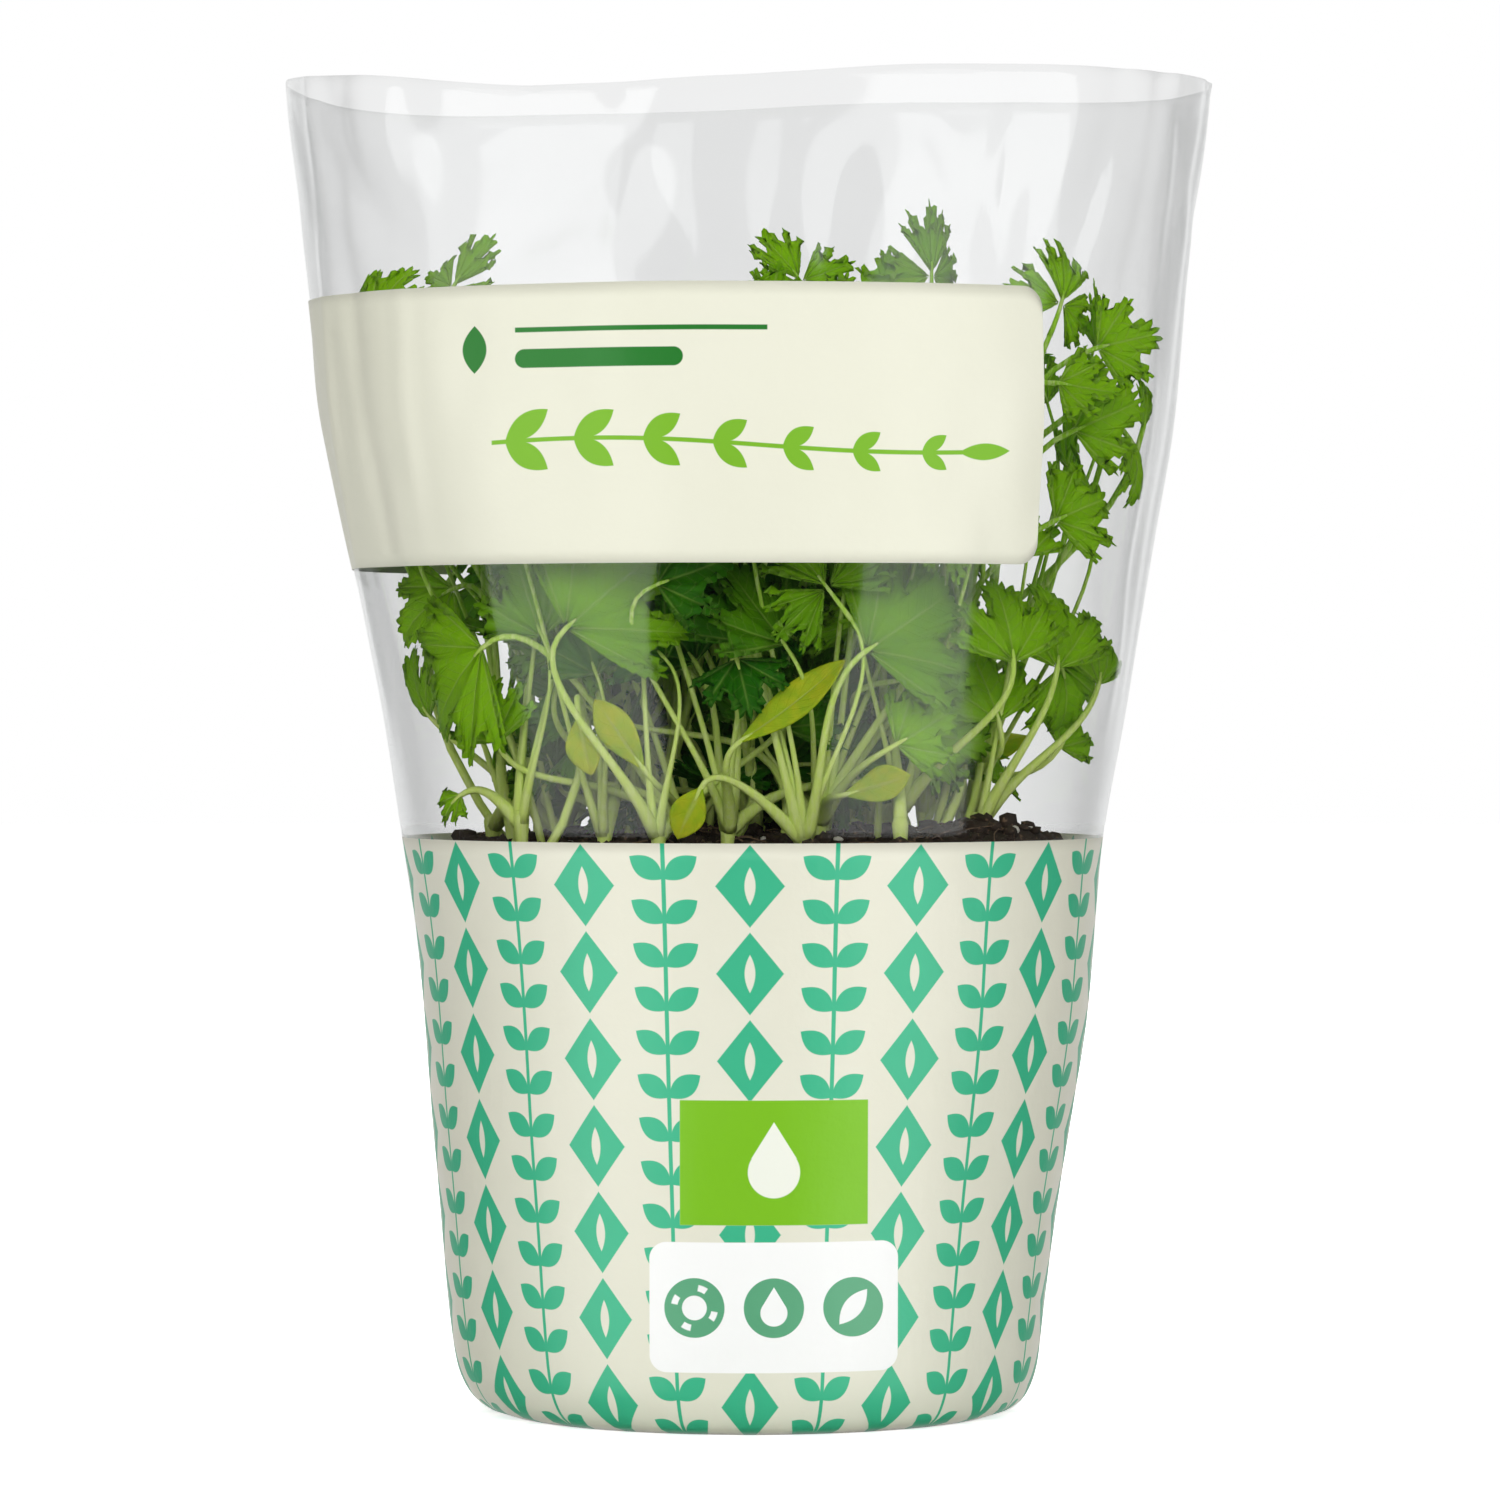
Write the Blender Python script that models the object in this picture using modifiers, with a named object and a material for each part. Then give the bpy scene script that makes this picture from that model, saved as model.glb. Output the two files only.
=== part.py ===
"""Coriander seedlings in a nursery pot, inside a tapered film sleeve.

Units are metres, +Z is up, the front faces -Y, and the origin is on the floor under the middle.
Angles round the sleeve are measured from the front, positive towards +X.
"""

import math
import random
from collections import namedtuple

import bmesh
import bpy
from mathutils import Matrix, Vector, noise
from mathutils.bvhtree import BVHTree

MM = 0.001
GAP = 0.3 * MM

# Sleeve: half widths to the left and the right of the axis at heights from the floor up
SLEEVE_SIDES = (
    (0.0, 0.0465, 0.0465),
    (0.0012, 0.0500, 0.0500),
    (0.0042, 0.0530, 0.0524),
    (0.0090, 0.0550, 0.0539),
    (0.0200, 0.0566, 0.0552),
    (0.0380, 0.0582, 0.0576),
    (0.0560, 0.0598, 0.0605),
    (0.0740, 0.0611, 0.0633),
    (0.0910, 0.0628, 0.0648),
    (0.1075, 0.0653, 0.0664),
    (0.1350, 0.0697, 0.0713),
    (0.1650, 0.0763, 0.0763),
    (0.1870, 0.0807, 0.0797),
    (0.2100, 0.0831, 0.0815),
    (0.2250, 0.0841, 0.0832),
    (0.2400, 0.0861, 0.0856),
    (0.2520, 0.0874, 0.0873),
)
# Height of the wavy rim at angles round it
RIM_HEIGHTS = (
    (-90.0, 0.2489),
    (-54.0, 0.2468),
    (-26.0, 0.2430),
    (2.0, 0.2446),
    (22.0, 0.2467),
    (60.0, 0.2479),
    (90.0, 0.2484),
    (119.0, 0.2487),
    (160.0, 0.2512),
    (200.0, 0.2490),
    (232.0, 0.2470),
)
RIM_MEAN = 0.2480
RIM_WAVE_START = 0.2076
OVAL_START = 0.115
OVAL_DEPTH = 0.80
FLUTE_START = 0.120
FLUTE_DEPTH = 0.0006
SLEEVE_COLUMNS = 36
SLEEVE_THICKNESS = 0.6 * MM

# Printed parts of the sleeve
PRINT_TOP = 0.1075
PRINT_ROWS = (0.0012, 0.0042, 0.0090, 0.0360, 0.0720)
LABEL_BOTTOM = 0.1575
LABEL_TOP = 0.2076
LABEL_LEFT = -130.0
LABEL_RIGHT = 40.0
LABEL_CORNER = 0.004
LABEL_ROWS = (0.1825,)
FILM_ROWS_BELOW_LABEL = (0.132,)
FILM_ROWS_ABOVE_LABEL = (0.227,)

# Nursery pot
POT_BASE_Z = SLEEVE_THICKNESS + GAP
POT_TOP = 0.1060
POT_LIP_BOTTOM = 0.0980
POT_LIP_RADIUS = 0.0626
POT_TOP_RADIUS = 0.0606
POT_BASE_RADIUS = 0.0462
POT_WALL = 1.1 * MM
POT_FLOOR = 1.6 * MM
POT_FOOT_HEIGHT = 1.5 * MM
POT_SEGMENTS = 26
DRAIN_COUNT = 6
DRAIN_RADIUS = 0.0032
DRAIN_CIRCLE = 0.034

# Soil
SOIL_TOP = 0.1050
SOIL_RINGS = (0.012, 0.024, 0.036, 0.047, 0.056)
SOIL_SEGMENTS = 24
SOIL_LUMP = 0.0016
SOIL_LUMP_SIZE = 0.016
ROOT_DEPTH = 0.005
ROOT_HOLE_SIDES = 5

# Seedlings
ROOT_COUNT = 34
ROOT_DISC = 0.053
GOLDEN_ANGLE = math.radians(137.508)
STEM_RADIUS = 0.0011
STALK_RADIUS = 0.0011
STALK_TIP_RADIUS = 0.0006
STALK_POINTS = 5
SEED_STALK_POINTS = 4
STALK_SIDES = 3
LEAST_STALK_TURN = 0.35
STALK_UNDER_BLADE = 0.0008
LEAF_THICKNESS = 0.6 * MM
LEAF_CEILING = 0.2285
FILL_CEILING = 0.2105
LEAF_CLEARANCE = 0.35 * MM
SLEEVE_CLEARANCE = 1.6 * MM
LEAVES_PER_ROOT = 2
FILL_LEAVES = 30
SEED = 11

# Half of a leaflet's outline: place across the fan from its middle to its edge, and reach
LEAFLET_KEYS = (
    (0.0, 1.0),
    (0.09, 0.90),
    (0.21, 0.96),
    (0.34, 0.66),
    (0.50, 0.94),
    (0.63, 0.81),
    (0.78, 0.87),
    (1.0, 0.50),
)
LEAFLET_KEYS_PLAIN = ((0.0, 1.0), (0.22, 0.93), (0.34, 0.68), (0.54, 0.95), (0.80, 0.86), (1.0, 0.48))
SEED_LEAF_KEYS = ((0.0, 0.12), (0.35, 0.75), (0.65, 1.0), (0.88, 0.62))
SEED_LEAF_HALF_WIDTH = 0.0031
LEAFLET_MIDDLE = (-1.0, -0.34, 0.34, 1.0)
LEAFLET_MIDDLE_REACH = 0.52
LEAF_BASE_HALF_WIDTH = 0.0008

# Leaves that show from the front: kind, place of the blade's base in millimetres, the turn of
# the blade from straight up (clockwise from the front), its tilt towards the front, its length
PLACED_LEAVES = (
    ("simple", -48.5, -40.0, 142.5, -132, -25, 24),
    ("simple", -33.0, -58.0, 146.0, 48, 0, 24),
    ("simple", 21.0, -56.0, 142.0, 56, 0, 23),
    ("simple", 0.5, -50.0, 143.5, -12, 5, 18),
    ("simple", 48.0, -40.0, 140.0, -3, 0, 17),
    ("simple", 56.5, -28.0, 139.0, 8, 0, 19),
    ("simple", 64.5, -8.0, 136.5, 14, 0, 16),
    ("simple", 59.0, -12.0, 138.5, 160, 0, 16),
    ("simple", -56.5, -24.0, 152.0, -115, 0, 17),
    ("simple", -3.0, -50.0, 140.5, 165, 35, 13),
    ("simple", 60.0, -20.0, 183.0, 68, 0, 15),
    ("simple", 56.5, -30.0, 165.5, 65, 0, 14),
    ("simple", 26.5, -44.0, 125.0, 60, 10, 13),
    ("simple", -49.0, -36.0, 128.0, -20, 0, 15),
    ("simple", -57.0, -22.0, 114.5, -122, 0, 8),
    ("simple", 28.0, -46.0, 151.0, -70, 0, 14),
    ("compound", 12.0, 4.0, 207.0, -22, 0, 19),
    ("compound", 34.0, -12.0, 206.0, -4, 0, 20),
    ("compound", -58.0, -22.0, 205.0, 35, 0, 18),
    ("simple", -75.0, 0.0, 203.5, 8, 0, 12),
    ("compound", 55.5, -18.0, 200.5, 24, 0, 21),
    ("simple", 57.0, -24.0, 191.5, 100, 0, 12),
    ("simple", 65.0, -6.0, 199.0, 75, 0, 13),
    ("simple", 68.5, -4.0, 186.5, 10, 0, 15),
    ("simple", 74.5, 3.0, 184.0, 14, 0, 12),
    ("simple", 69.5, -6.0, 182.0, 150, 0, 15),
    ("compound", -1.0, -36.0, 142.0, 12, 0, 23),
    ("simple", -47.0, -30.0, 161.0, 178, 0, 15),
    ("simple", 26.0, -36.0, 136.5, 85, 0, 17),
    ("simple", 46.0, -24.0, 129.0, -15, 0, 17),
    ("simple", 35.0, -26.0, 120.0, 20, 0, 15),
    ("simple", -10.0, -30.0, 140.0, -35, 0, 17),
    ("compound", -36.0, -34.0, 136.0, 20, 0, 22),
    ("simple", -60.0, 6.0, 130.0, -40, 0, 15),
    ("simple", 6.0, -34.0, 128.0, 40, 15, 15),
    ("simple", 62.0, -2.0, 122.0, 30, 0, 13),
    ("simple", -10.0, 34.0, 186.0, -20, 0, 20),
    ("simple", 14.0, 38.0, 184.0, 35, 0, 19),
    ("simple", -20.0, 40.0, 171.0, -15, 0, 18),
    ("simple", -34.0, 30.0, 180.0, -50, 0, 19),
    ("simple", -4.0, 50.0, 162.0, 15, 0, 20),
    ("simple", 36.0, 34.0, 176.0, 60, 0, 18),
    ("seed", -19.5, -46.0, 121.0, -35, 0, 15),
    ("seed", -2.0, -50.0, 125.5, 57, 0, 25),
    ("seed", -9.0, -50.0, 117.0, -155, 10, 10),
    ("seed", -31.0, -48.0, 130.0, 172, 0, 11),
    ("seed", 16.0, -40.0, 116.0, 75, 0, 14),
    ("seed", 40.0, 20.0, 120.0, 60, 0, 16),
    ("seed", -30.0, 30.0, 119.0, -50, 0, 16),
    ("seed", 5.0, 45.0, 121.0, 30, 0, 15),
)

CORIANDER = bpy.data.collections.new("coriander_pot")
CUTTERS = bpy.data.collections.new("cutters")
Leaf = namedtuple("Leaf", "kind base along face length bend ripple")
Seedling = namedtuple("Seedling", "root crown leaves")


def clear_scene():
    for old in list(bpy.data.objects):
        bpy.data.objects.remove(old, do_unlink=True)
    bpy.context.scene.collection.children.link(CORIANDER)
    bpy.context.scene.collection.children.link(CUTTERS)
    CUTTERS.hide_render = True


def material(name, colour, roughness, alpha=1.0):
    made = bpy.data.materials.new(name)
    made.use_nodes = True
    shader = made.node_tree.nodes["Principled BSDF"]
    shader.inputs["Base Color"].default_value = (*colour, 1.0)
    shader.inputs["Roughness"].default_value = roughness
    shader.inputs["Metallic"].default_value = 0.0
    shader.inputs["Alpha"].default_value = alpha
    made.diffuse_color = (*colour, alpha)
    return made


def mesh_object(name, points, faces, finish=None, home=None):
    mesh = bpy.data.meshes.new(name)
    mesh.from_pydata([tuple(p) for p in points], [], faces)
    mesh.update()
    if finish:
        mesh.materials.append(finish)
    made = bpy.data.objects.new(name, mesh)
    (home or CORIANDER).objects.link(made)
    return made


def keep_outer_body(obj):
    """Fills any hollow that a union has sealed and drops loose scraps: the largest body stays."""
    shape = bmesh.new()
    shape.from_mesh(obj.data)
    unseen = set(shape.verts)
    bodies = []
    while unseen:
        body = [unseen.pop()]
        for vert in body:
            for edge in vert.link_edges:
                other = edge.other_vert(vert)
                if other in unseen:
                    unseen.remove(other)
                    body.append(other)
        bodies.append(body)
    bodies.sort(key=len)
    for body in bodies[:-1]:
        bmesh.ops.delete(shape, geom=body, context="VERTS")
    shape.to_mesh(obj.data)
    shape.free()


def shade_round(obj, angle=40.0):
    obj.data.shade_smooth()
    obj.data.set_sharp_from_angle(angle=math.radians(angle))


def applied(obj):
    """Replaces the object's mesh with what its modifiers make of it."""
    graph = bpy.context.evaluated_depsgraph_get()
    graph.update()
    mesh = bpy.data.meshes.new_from_object(obj.evaluated_get(graph))
    obj.modifiers.clear()
    obj.data = mesh
    return obj


def solidified(obj, thickness, offset):
    shell = obj.modifiers.new("thickness", "SOLIDIFY")
    shell.thickness = thickness
    shell.offset = offset
    shell.use_even_offset = abs(offset) > 0.5
    return obj


# Sleeve surface
def smooth_value(stations, at, column):
    """A smooth curve through the stations, whose first column is the place along it."""
    last = len(stations) - 1
    i = 0
    while i < last - 1 and stations[i + 1][0] <= at:
        i += 1

    def slope(k):
        before = stations[max(k - 1, 0)]
        after = stations[min(k + 1, last)]
        return (after[column] - before[column]) / (after[0] - before[0])

    start, end = stations[i], stations[i + 1]
    span = end[0] - start[0]
    t = (at - start[0]) / span
    first = (1 + 2 * t) * (1 - t) ** 2 * start[column] + t * (1 - t) ** 2 * span * slope(i)
    second = t * t * (3 - 2 * t) * end[column] + t * t * (t - 1) * span * slope(i + 1)
    return first + second


def ease(t):
    t = min(max(t, 0.0), 1.0)
    return t * t * (3 - 2 * t)


def rim_height(angle):
    """Height of the rim, with the stations repeated once to close the ring."""
    turn = (math.degrees(angle) + 90.0) % 360.0 - 90.0
    ring = tuple((a - 360.0, z) for a, z in RIM_HEIGHTS[-2:])
    ring += RIM_HEIGHTS + tuple((a + 360.0, z) for a, z in RIM_HEIGHTS[:2])
    return smooth_value(ring, turn, 1)


def sleeve_point(angle, z, out=0.0):
    """A point of the sleeve's outer surface, or this far outside it."""
    left = smooth_value(SLEEVE_SIDES, z, 1)
    right = smooth_value(SLEEVE_SIDES, z, 2)
    half = left + (right - left) * (1 + math.sin(angle)) / 2 + out
    depth = 1 - (1 - OVAL_DEPTH) * ease((z - OVAL_START) / (RIM_MEAN - OVAL_START))
    flute = FLUTE_DEPTH * ease((z - FLUTE_START) / 0.06) * math.cos(angle) ** 2
    half += flute * (math.cos(7 * angle + 1.0) + 0.7 * math.cos(11 * angle + 2.0))
    return Vector((half * math.sin(angle), -half * depth * math.cos(angle), z))


def column_angle(k):
    return math.radians(360.0 * k / SLEEVE_COLUMNS)


def sleeve_ring(z):
    """One row of points round the sleeve, which follows the wavy rim more the higher it is."""
    wave = ease((z - RIM_WAVE_START) / (RIM_MEAN - RIM_WAVE_START))
    angles = [column_angle(k) for k in range(SLEEVE_COLUMNS)]
    return [sleeve_point(a, z + wave * (rim_height(a) - RIM_MEAN)) for a in angles]


def rings_surface(name, rings, finish, base=None):
    """A surface through closed rings of points, lowest first, facing outwards, with a base or none."""
    count = len(rings[0])
    points = [p for ring in rings for p in ring]
    faces = []
    for row in range(len(rings) - 1):
        for k in range(count):
            a, b = row * count + k, row * count + (k + 1) % count
            faces.append((a, b, b + count, a + count))
    if base is not None:
        faces += [(len(points), (k + 1) % count, k) for k in range(count)]
        points.append(base)
    return mesh_object(name, points, faces, finish)


def split_quads(obj):
    """Cuts every four-sided face along one diagonal, so that both sides of a shell agree."""
    shape = bmesh.new()
    shape.from_mesh(obj.data)
    bmesh.ops.triangulate(shape, faces=shape.faces, quad_method="FIXED")
    shape.to_mesh(obj.data)
    shape.free()


def make_film(finish):
    rows = (PRINT_TOP + GAP, *FILM_ROWS_BELOW_LABEL, LABEL_BOTTOM, *LABEL_ROWS, LABEL_TOP)
    rows += (*FILM_ROWS_ABOVE_LABEL, RIM_MEAN)
    film = rings_surface("sleeve_film", [sleeve_ring(z) for z in rows], finish)
    split_quads(film)
    shade_round(solidified(film, SLEEVE_THICKNESS, -1.0))


def make_print(finish):
    rings = [sleeve_ring(z) for z in (0.0, *PRINT_ROWS, PRINT_TOP)]
    cover = rings_surface("sleeve_print", rings, finish, Vector())
    split_quads(cover)
    shade_round(solidified(cover, SLEEVE_THICKNESS, -1.0))


def on_facets(angle, z, out):
    """A point over the film's own flat facets, so that a layer on it stays parallel to them."""
    step = math.radians(360.0 / SLEEVE_COLUMNS)
    k = math.floor(angle / step + 1e-6)
    share = angle / step - k
    return sleeve_point(k * step, z, out).lerp(sleeve_point((k + 1) * step, z, out), share)


def make_label(finish):
    """The printed panel on the film: a grid on the film's columns, with two rounded ends."""
    out = GAP + SLEEVE_THICKNESS
    step = 360.0 / SLEEVE_COLUMNS
    columns = [LABEL_LEFT + step * k for k in range(round((LABEL_RIGHT - LABEL_LEFT) / step))]
    middle = (LABEL_BOTTOM + LABEL_TOP) / 2
    radius = sleeve_point(math.radians(LABEL_RIGHT), middle).xy.length
    rounding = math.degrees(LABEL_CORNER / radius)
    for turn in (0, 40, 90):
        columns.append(LABEL_RIGHT - rounding * (1 - math.sin(math.radians(turn))))
    rows = []
    for angle in columns:
        past = max(0.0, (angle - LABEL_RIGHT + rounding) / rounding)
        cut = LABEL_CORNER * (1 - math.sqrt(max(0.0, 1 - past * past)))
        heights = (LABEL_BOTTOM + cut, *LABEL_ROWS, LABEL_TOP - cut)
        rows.append([on_facets(math.radians(angle), z, out) for z in heights])
    count = len(rows[0])
    points = [p for row in rows for p in row]
    faces = []
    for k in range(len(rows) - 1):
        for j in range(count - 1):
            a = k * count + j
            faces.append((a, a + count, a + count + 1, a + 1))
    label = mesh_object("label_panel", points, faces, finish)
    split_quads(label)
    shade_round(solidified(label, SLEEVE_THICKNESS, -1.0))


# Nursery pot
def cutter_cylinder(name, radius, depth, place, sides):
    shape = bmesh.new()
    bmesh.ops.create_cone(
        shape, cap_ends=True, segments=sides, radius1=radius, radius2=radius, depth=depth,
        matrix=Matrix.Translation(place),
    )
    mesh = bpy.data.meshes.new(name)
    shape.to_mesh(mesh)
    shape.free()
    made = bpy.data.objects.new(name, mesh)
    made.hide_render = True
    made.display_type = "WIRE"
    return made


def cut_by(obj, cutters):
    """Takes the cutters out of the object with one Boolean, and removes them."""
    holder = bpy.data.collections.new(obj.name + "_cuts")
    CUTTERS.children.link(holder)
    for cutter in cutters:
        holder.objects.link(cutter)
    cut = obj.modifiers.new("holes", "BOOLEAN")
    cut.operation = "DIFFERENCE"
    cut.operand_type = "COLLECTION"
    cut.collection = holder
    applied(obj)
    for cutter in cutters:
        bpy.data.objects.remove(cutter, do_unlink=True)
    bpy.data.collections.remove(holder)


def pot_radius(z):
    """Outer radius of the pot's wall below its lip."""
    share = (z - POT_BASE_Z) / (POT_LIP_BOTTOM - POT_BASE_Z)
    return POT_BASE_RADIUS + (POT_TOP_RADIUS - POT_BASE_RADIUS) * share


def make_pot(finish):
    floor_top = POT_BASE_Z + POT_FOOT_HEIGHT + POT_FLOOR
    inner_top = POT_TOP_RADIUS - POT_WALL
    profile = (
        (0.0, floor_top),
        (pot_radius(floor_top) - POT_WALL, floor_top),
        (inner_top, POT_LIP_BOTTOM),
        (inner_top + 0.6 * MM, POT_TOP - 0.5 * MM),
        (inner_top + 1.1 * MM, POT_TOP),
        (POT_LIP_RADIUS - 0.5 * MM, POT_TOP),
        (POT_LIP_RADIUS, POT_TOP - 0.6 * MM),
        (POT_LIP_RADIUS, POT_LIP_BOTTOM),
        (POT_TOP_RADIUS, POT_LIP_BOTTOM - 0.5 * MM),
        (POT_BASE_RADIUS, POT_BASE_Z),
        (POT_BASE_RADIUS - 2.5 * MM, POT_BASE_Z),
        (POT_BASE_RADIUS - 3.2 * MM, POT_BASE_Z + POT_FOOT_HEIGHT),
        (0.0, POT_BASE_Z + POT_FOOT_HEIGHT),
    )
    mesh = bpy.data.meshes.new("pot")
    mesh.from_pydata([(r, 0.0, z) for r, z in profile], [(i, i + 1) for i in range(len(profile) - 1)], [])
    mesh.materials.append(finish)
    pot = bpy.data.objects.new("pot", mesh)
    CORIANDER.objects.link(pot)
    turn = pot.modifiers.new("turned", "SCREW")
    turn.steps = POT_SEGMENTS
    turn.render_steps = POT_SEGMENTS
    turn.use_merge_vertices = True
    turn.merge_threshold = 0.00001
    applied(pot)
    drains = []
    for k in range(DRAIN_COUNT):
        angle = 2 * math.pi * (k + 0.5) / DRAIN_COUNT
        place = Vector((math.cos(angle), math.sin(angle), 0)) * DRAIN_CIRCLE
        place.z = floor_top - POT_FLOOR / 2
        drains.append(cutter_cylinder(f"drain_{k}", DRAIN_RADIUS, 3 * POT_FLOOR, place, 8))
    cut_by(pot, drains)
    shade_round(pot)


# Soil
def soil_height(x, y):
    lump = noise.noise(Vector((x, y, 0.3)) / SOIL_LUMP_SIZE)
    lump += 0.5 * noise.noise(Vector((x, y, 7.7)) * 2 / SOIL_LUMP_SIZE)
    rise = 0.0018 * math.exp(-((x - 0.045) ** 2 + (y + 0.015) ** 2) / 0.0003)
    return SOIL_TOP + SOIL_LUMP * lump + rise


def make_soil(finish, roots):
    floor = POT_BASE_Z + POT_FOOT_HEIGHT + POT_FLOOR + GAP
    inner_base = pot_radius(floor) - POT_WALL - 0.5 * MM
    inner_top = POT_TOP_RADIUS - POT_WALL - 0.5 * MM
    shoulder = SOIL_TOP - 0.0035
    rings = [(inner_base, floor), (inner_top, POT_LIP_BOTTOM), (inner_top, shoulder)]
    points = []
    for radius, z in rings:
        for k in range(SOIL_SEGMENTS):
            angle = 2 * math.pi * k / SOIL_SEGMENTS
            points.append(Vector((radius * math.cos(angle), radius * math.sin(angle), z)))
    for radius in reversed(SOIL_RINGS):
        for k in range(SOIL_SEGMENTS):
            angle = 2 * math.pi * k / SOIL_SEGMENTS
            x, y = radius * math.cos(angle), radius * math.sin(angle)
            points.append(Vector((x, y, soil_height(x, y))))
    faces = []
    rows = len(rings) + len(SOIL_RINGS)
    for row in range(rows - 1):
        for k in range(SOIL_SEGMENTS):
            a, b = row * SOIL_SEGMENTS + k, row * SOIL_SEGMENTS + (k + 1) % SOIL_SEGMENTS
            faces.append((a, b, b + SOIL_SEGMENTS, a + SOIL_SEGMENTS))
    bottom, top = len(points), len(points) + 1
    points += [Vector((0, 0, floor)), Vector((0, 0, soil_height(0, 0)))]
    last = (rows - 1) * SOIL_SEGMENTS
    for k in range(SOIL_SEGMENTS):
        following = (k + 1) % SOIL_SEGMENTS
        faces.append((bottom, following, k))
        faces.append((top, last + k, last + following))
    soil = mesh_object("soil", points, faces, finish)
    split_quads(soil)
    holes = []
    for k, (x, y) in enumerate(roots):
        depth = ROOT_DEPTH + 0.006
        place = Vector((x, y, soil_height(x, y) - ROOT_DEPTH - GAP + depth / 2))
        holes.append(cutter_cylinder(f"hole_{k}", STEM_RADIUS + 2 * GAP, depth, place, ROOT_HOLE_SIDES))
    cut_by(soil, holes)
    shade_round(soil, 50.0)


# Leaf blades
def strip(first, second, places_first, places_second):
    """Triangles between two rows of points, each with its place from -1 to 1 across the fan."""
    faces = []
    i, j = 0, 0
    while i < len(first) - 1 or j < len(second) - 1:
        next_i = places_first[i + 1] if i < len(first) - 1 else math.inf
        next_j = places_second[j + 1] if j < len(second) - 1 else math.inf
        if next_j <= next_i:
            faces.append((first[i], second[j], second[j + 1]))
            j += 1
        else:
            faces.append((first[i], second[j], first[i + 1]))
            i += 1
    return faces


def leaflet_height(reach, place, leaf, heading):
    """How far a leaflet stands off the leaf's plane, as a share of its length."""
    wave = math.cos(1.5 * math.pi * place + 2.0 * leaf.ripple + heading)
    lift = (0.12 * abs(heading) + 0.15 * reach) * math.sin(1.7 * leaf.ripple)
    return reach * lift + 0.07 * reach ** 2 * wave


def add_leaflet(points, faces, edge, start, heading, length, spread, leaf):
    """Adds a fan of two rows beyond the edge, a pair of points that are already there."""
    keys = LEAFLET_KEYS if leaf.kind == "simple" else LEAFLET_KEYS_PLAIN
    spread = math.radians(spread)
    mirrored = [(-s, r) for s, r in reversed(keys[1:])] + list(keys)

    def ring(places):
        made = []
        for place, reach in places:
            angle = heading + spread * place
            at = start + Vector((math.cos(angle), math.sin(angle), 0)) * length * reach
            at.z = length * leaflet_height(reach, place, leaf, heading)
            made.append(len(points))
            points.append(at)
        return made

    across = LEAFLET_MIDDLE
    inner = ring([(s, LEAFLET_MIDDLE_REACH * (0.62 if abs(s) == 1.0 else 0.9)) for s in across])
    outer = ring(mirrored)
    faces += strip(edge, inner, (-1.0, 1.0), across)
    faces += strip(inner, outer, across, [s for s, _ in mirrored])


def add_seed_leaf(points, faces, leaf):
    """A long smooth blade in two rows of triangles either side of its rib."""
    for along, width in SEED_LEAF_KEYS:
        for side in (-1, 0, 1):
            half = SEED_LEAF_HALF_WIDTH * width
            points.append(Vector((along * leaf.length, side * half, 0.22 * half * abs(side))))
    tip = len(points)
    points.append(Vector((leaf.length, 0, 0)))
    for k in range(len(SEED_LEAF_KEYS) - 1):
        a = 3 * k
        faces += [(a, a + 3, a + 1), (a + 1, a + 3, a + 4), (a + 1, a + 4, a + 2), (a + 2, a + 4, a + 5)]
    faces += [(tip - 3, tip, tip - 2), (tip - 2, tip, tip - 1)]


def leaf_sheet(leaf):
    """The leaf's middle surface, as points in the world and triangles."""
    half = LEAF_BASE_HALF_WIDTH
    points, faces = [], []
    if leaf.kind == "seed":
        add_seed_leaf(points, faces, leaf)
    elif leaf.kind == "simple":
        points += [Vector((0, -half, 0)), Vector((0, half, 0))]
        add_leaflet(points, faces, (0, 1), Vector(), 0.0, leaf.length, 80, leaf)
    else:
        hub = 0.34 * leaf.length
        points += [Vector((u, v, 0)) for u in (0.0, hub - 2 * half, hub) for v in (-half, half)]
        for k in (0, 2):
            faces += [(k, k + 2, k + 1), (k + 1, k + 2, k + 3)]
        centre = Vector((hub - half, 0, 0))
        side = Vector((0, half, 0))
        turned = math.radians(94)
        add_leaflet(points, faces, (2, 4), centre - side, -turned, 0.58 * leaf.length, 44, leaf)
        add_leaflet(points, faces, (5, 3), centre + side, turned, 0.58 * leaf.length, 44, leaf)
        add_leaflet(points, faces, (4, 5), Vector((hub, 0, 0)), 0.0, 0.66 * leaf.length, 44, leaf)
    across = leaf.face.cross(leaf.along).normalized()
    normal = leaf.along.cross(across)
    curve = leaf.bend / leaf.length
    placed = []
    for p in points:
        angle = curve * p.x
        run = math.sin(angle) / curve + p.z * math.sin(angle)
        rise = -(1 - math.cos(angle)) / curve + p.z * math.cos(angle)
        placed.append(leaf.base + leaf.along * run + across * p.y + normal * rise)
    return placed, faces


def sheet_normals(points, faces):
    normals = [Vector() for _ in points]
    for a, b, c in faces:
        turned = (points[b] - points[a]).cross(points[c] - points[a])
        for corner in (a, b, c):
            normals[corner] += turned
    return [n.normalized() for n in normals]


def sheet_shell(points, faces, half):
    """The sheet's two sides and its rim at this half thickness, for the test of what it meets."""
    normals = sheet_normals(points, faces)
    count = len(points)
    both = [p + n * half for p, n in zip(points, normals)]
    both += [p - n * half for p, n in zip(points, normals)]
    shell = list(faces) + [(c + count, b + count, a + count) for a, b, c in faces]
    used = {}
    for a, b, c in faces:
        for edge in ((a, b), (b, c), (c, a)):
            used[tuple(sorted(edge))] = used.get(tuple(sorted(edge)), 0) + 1
    for (a, b), times in used.items():
        if times == 1:
            shell.append((a, b, b + count, a + count))
    return both, shell


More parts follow.
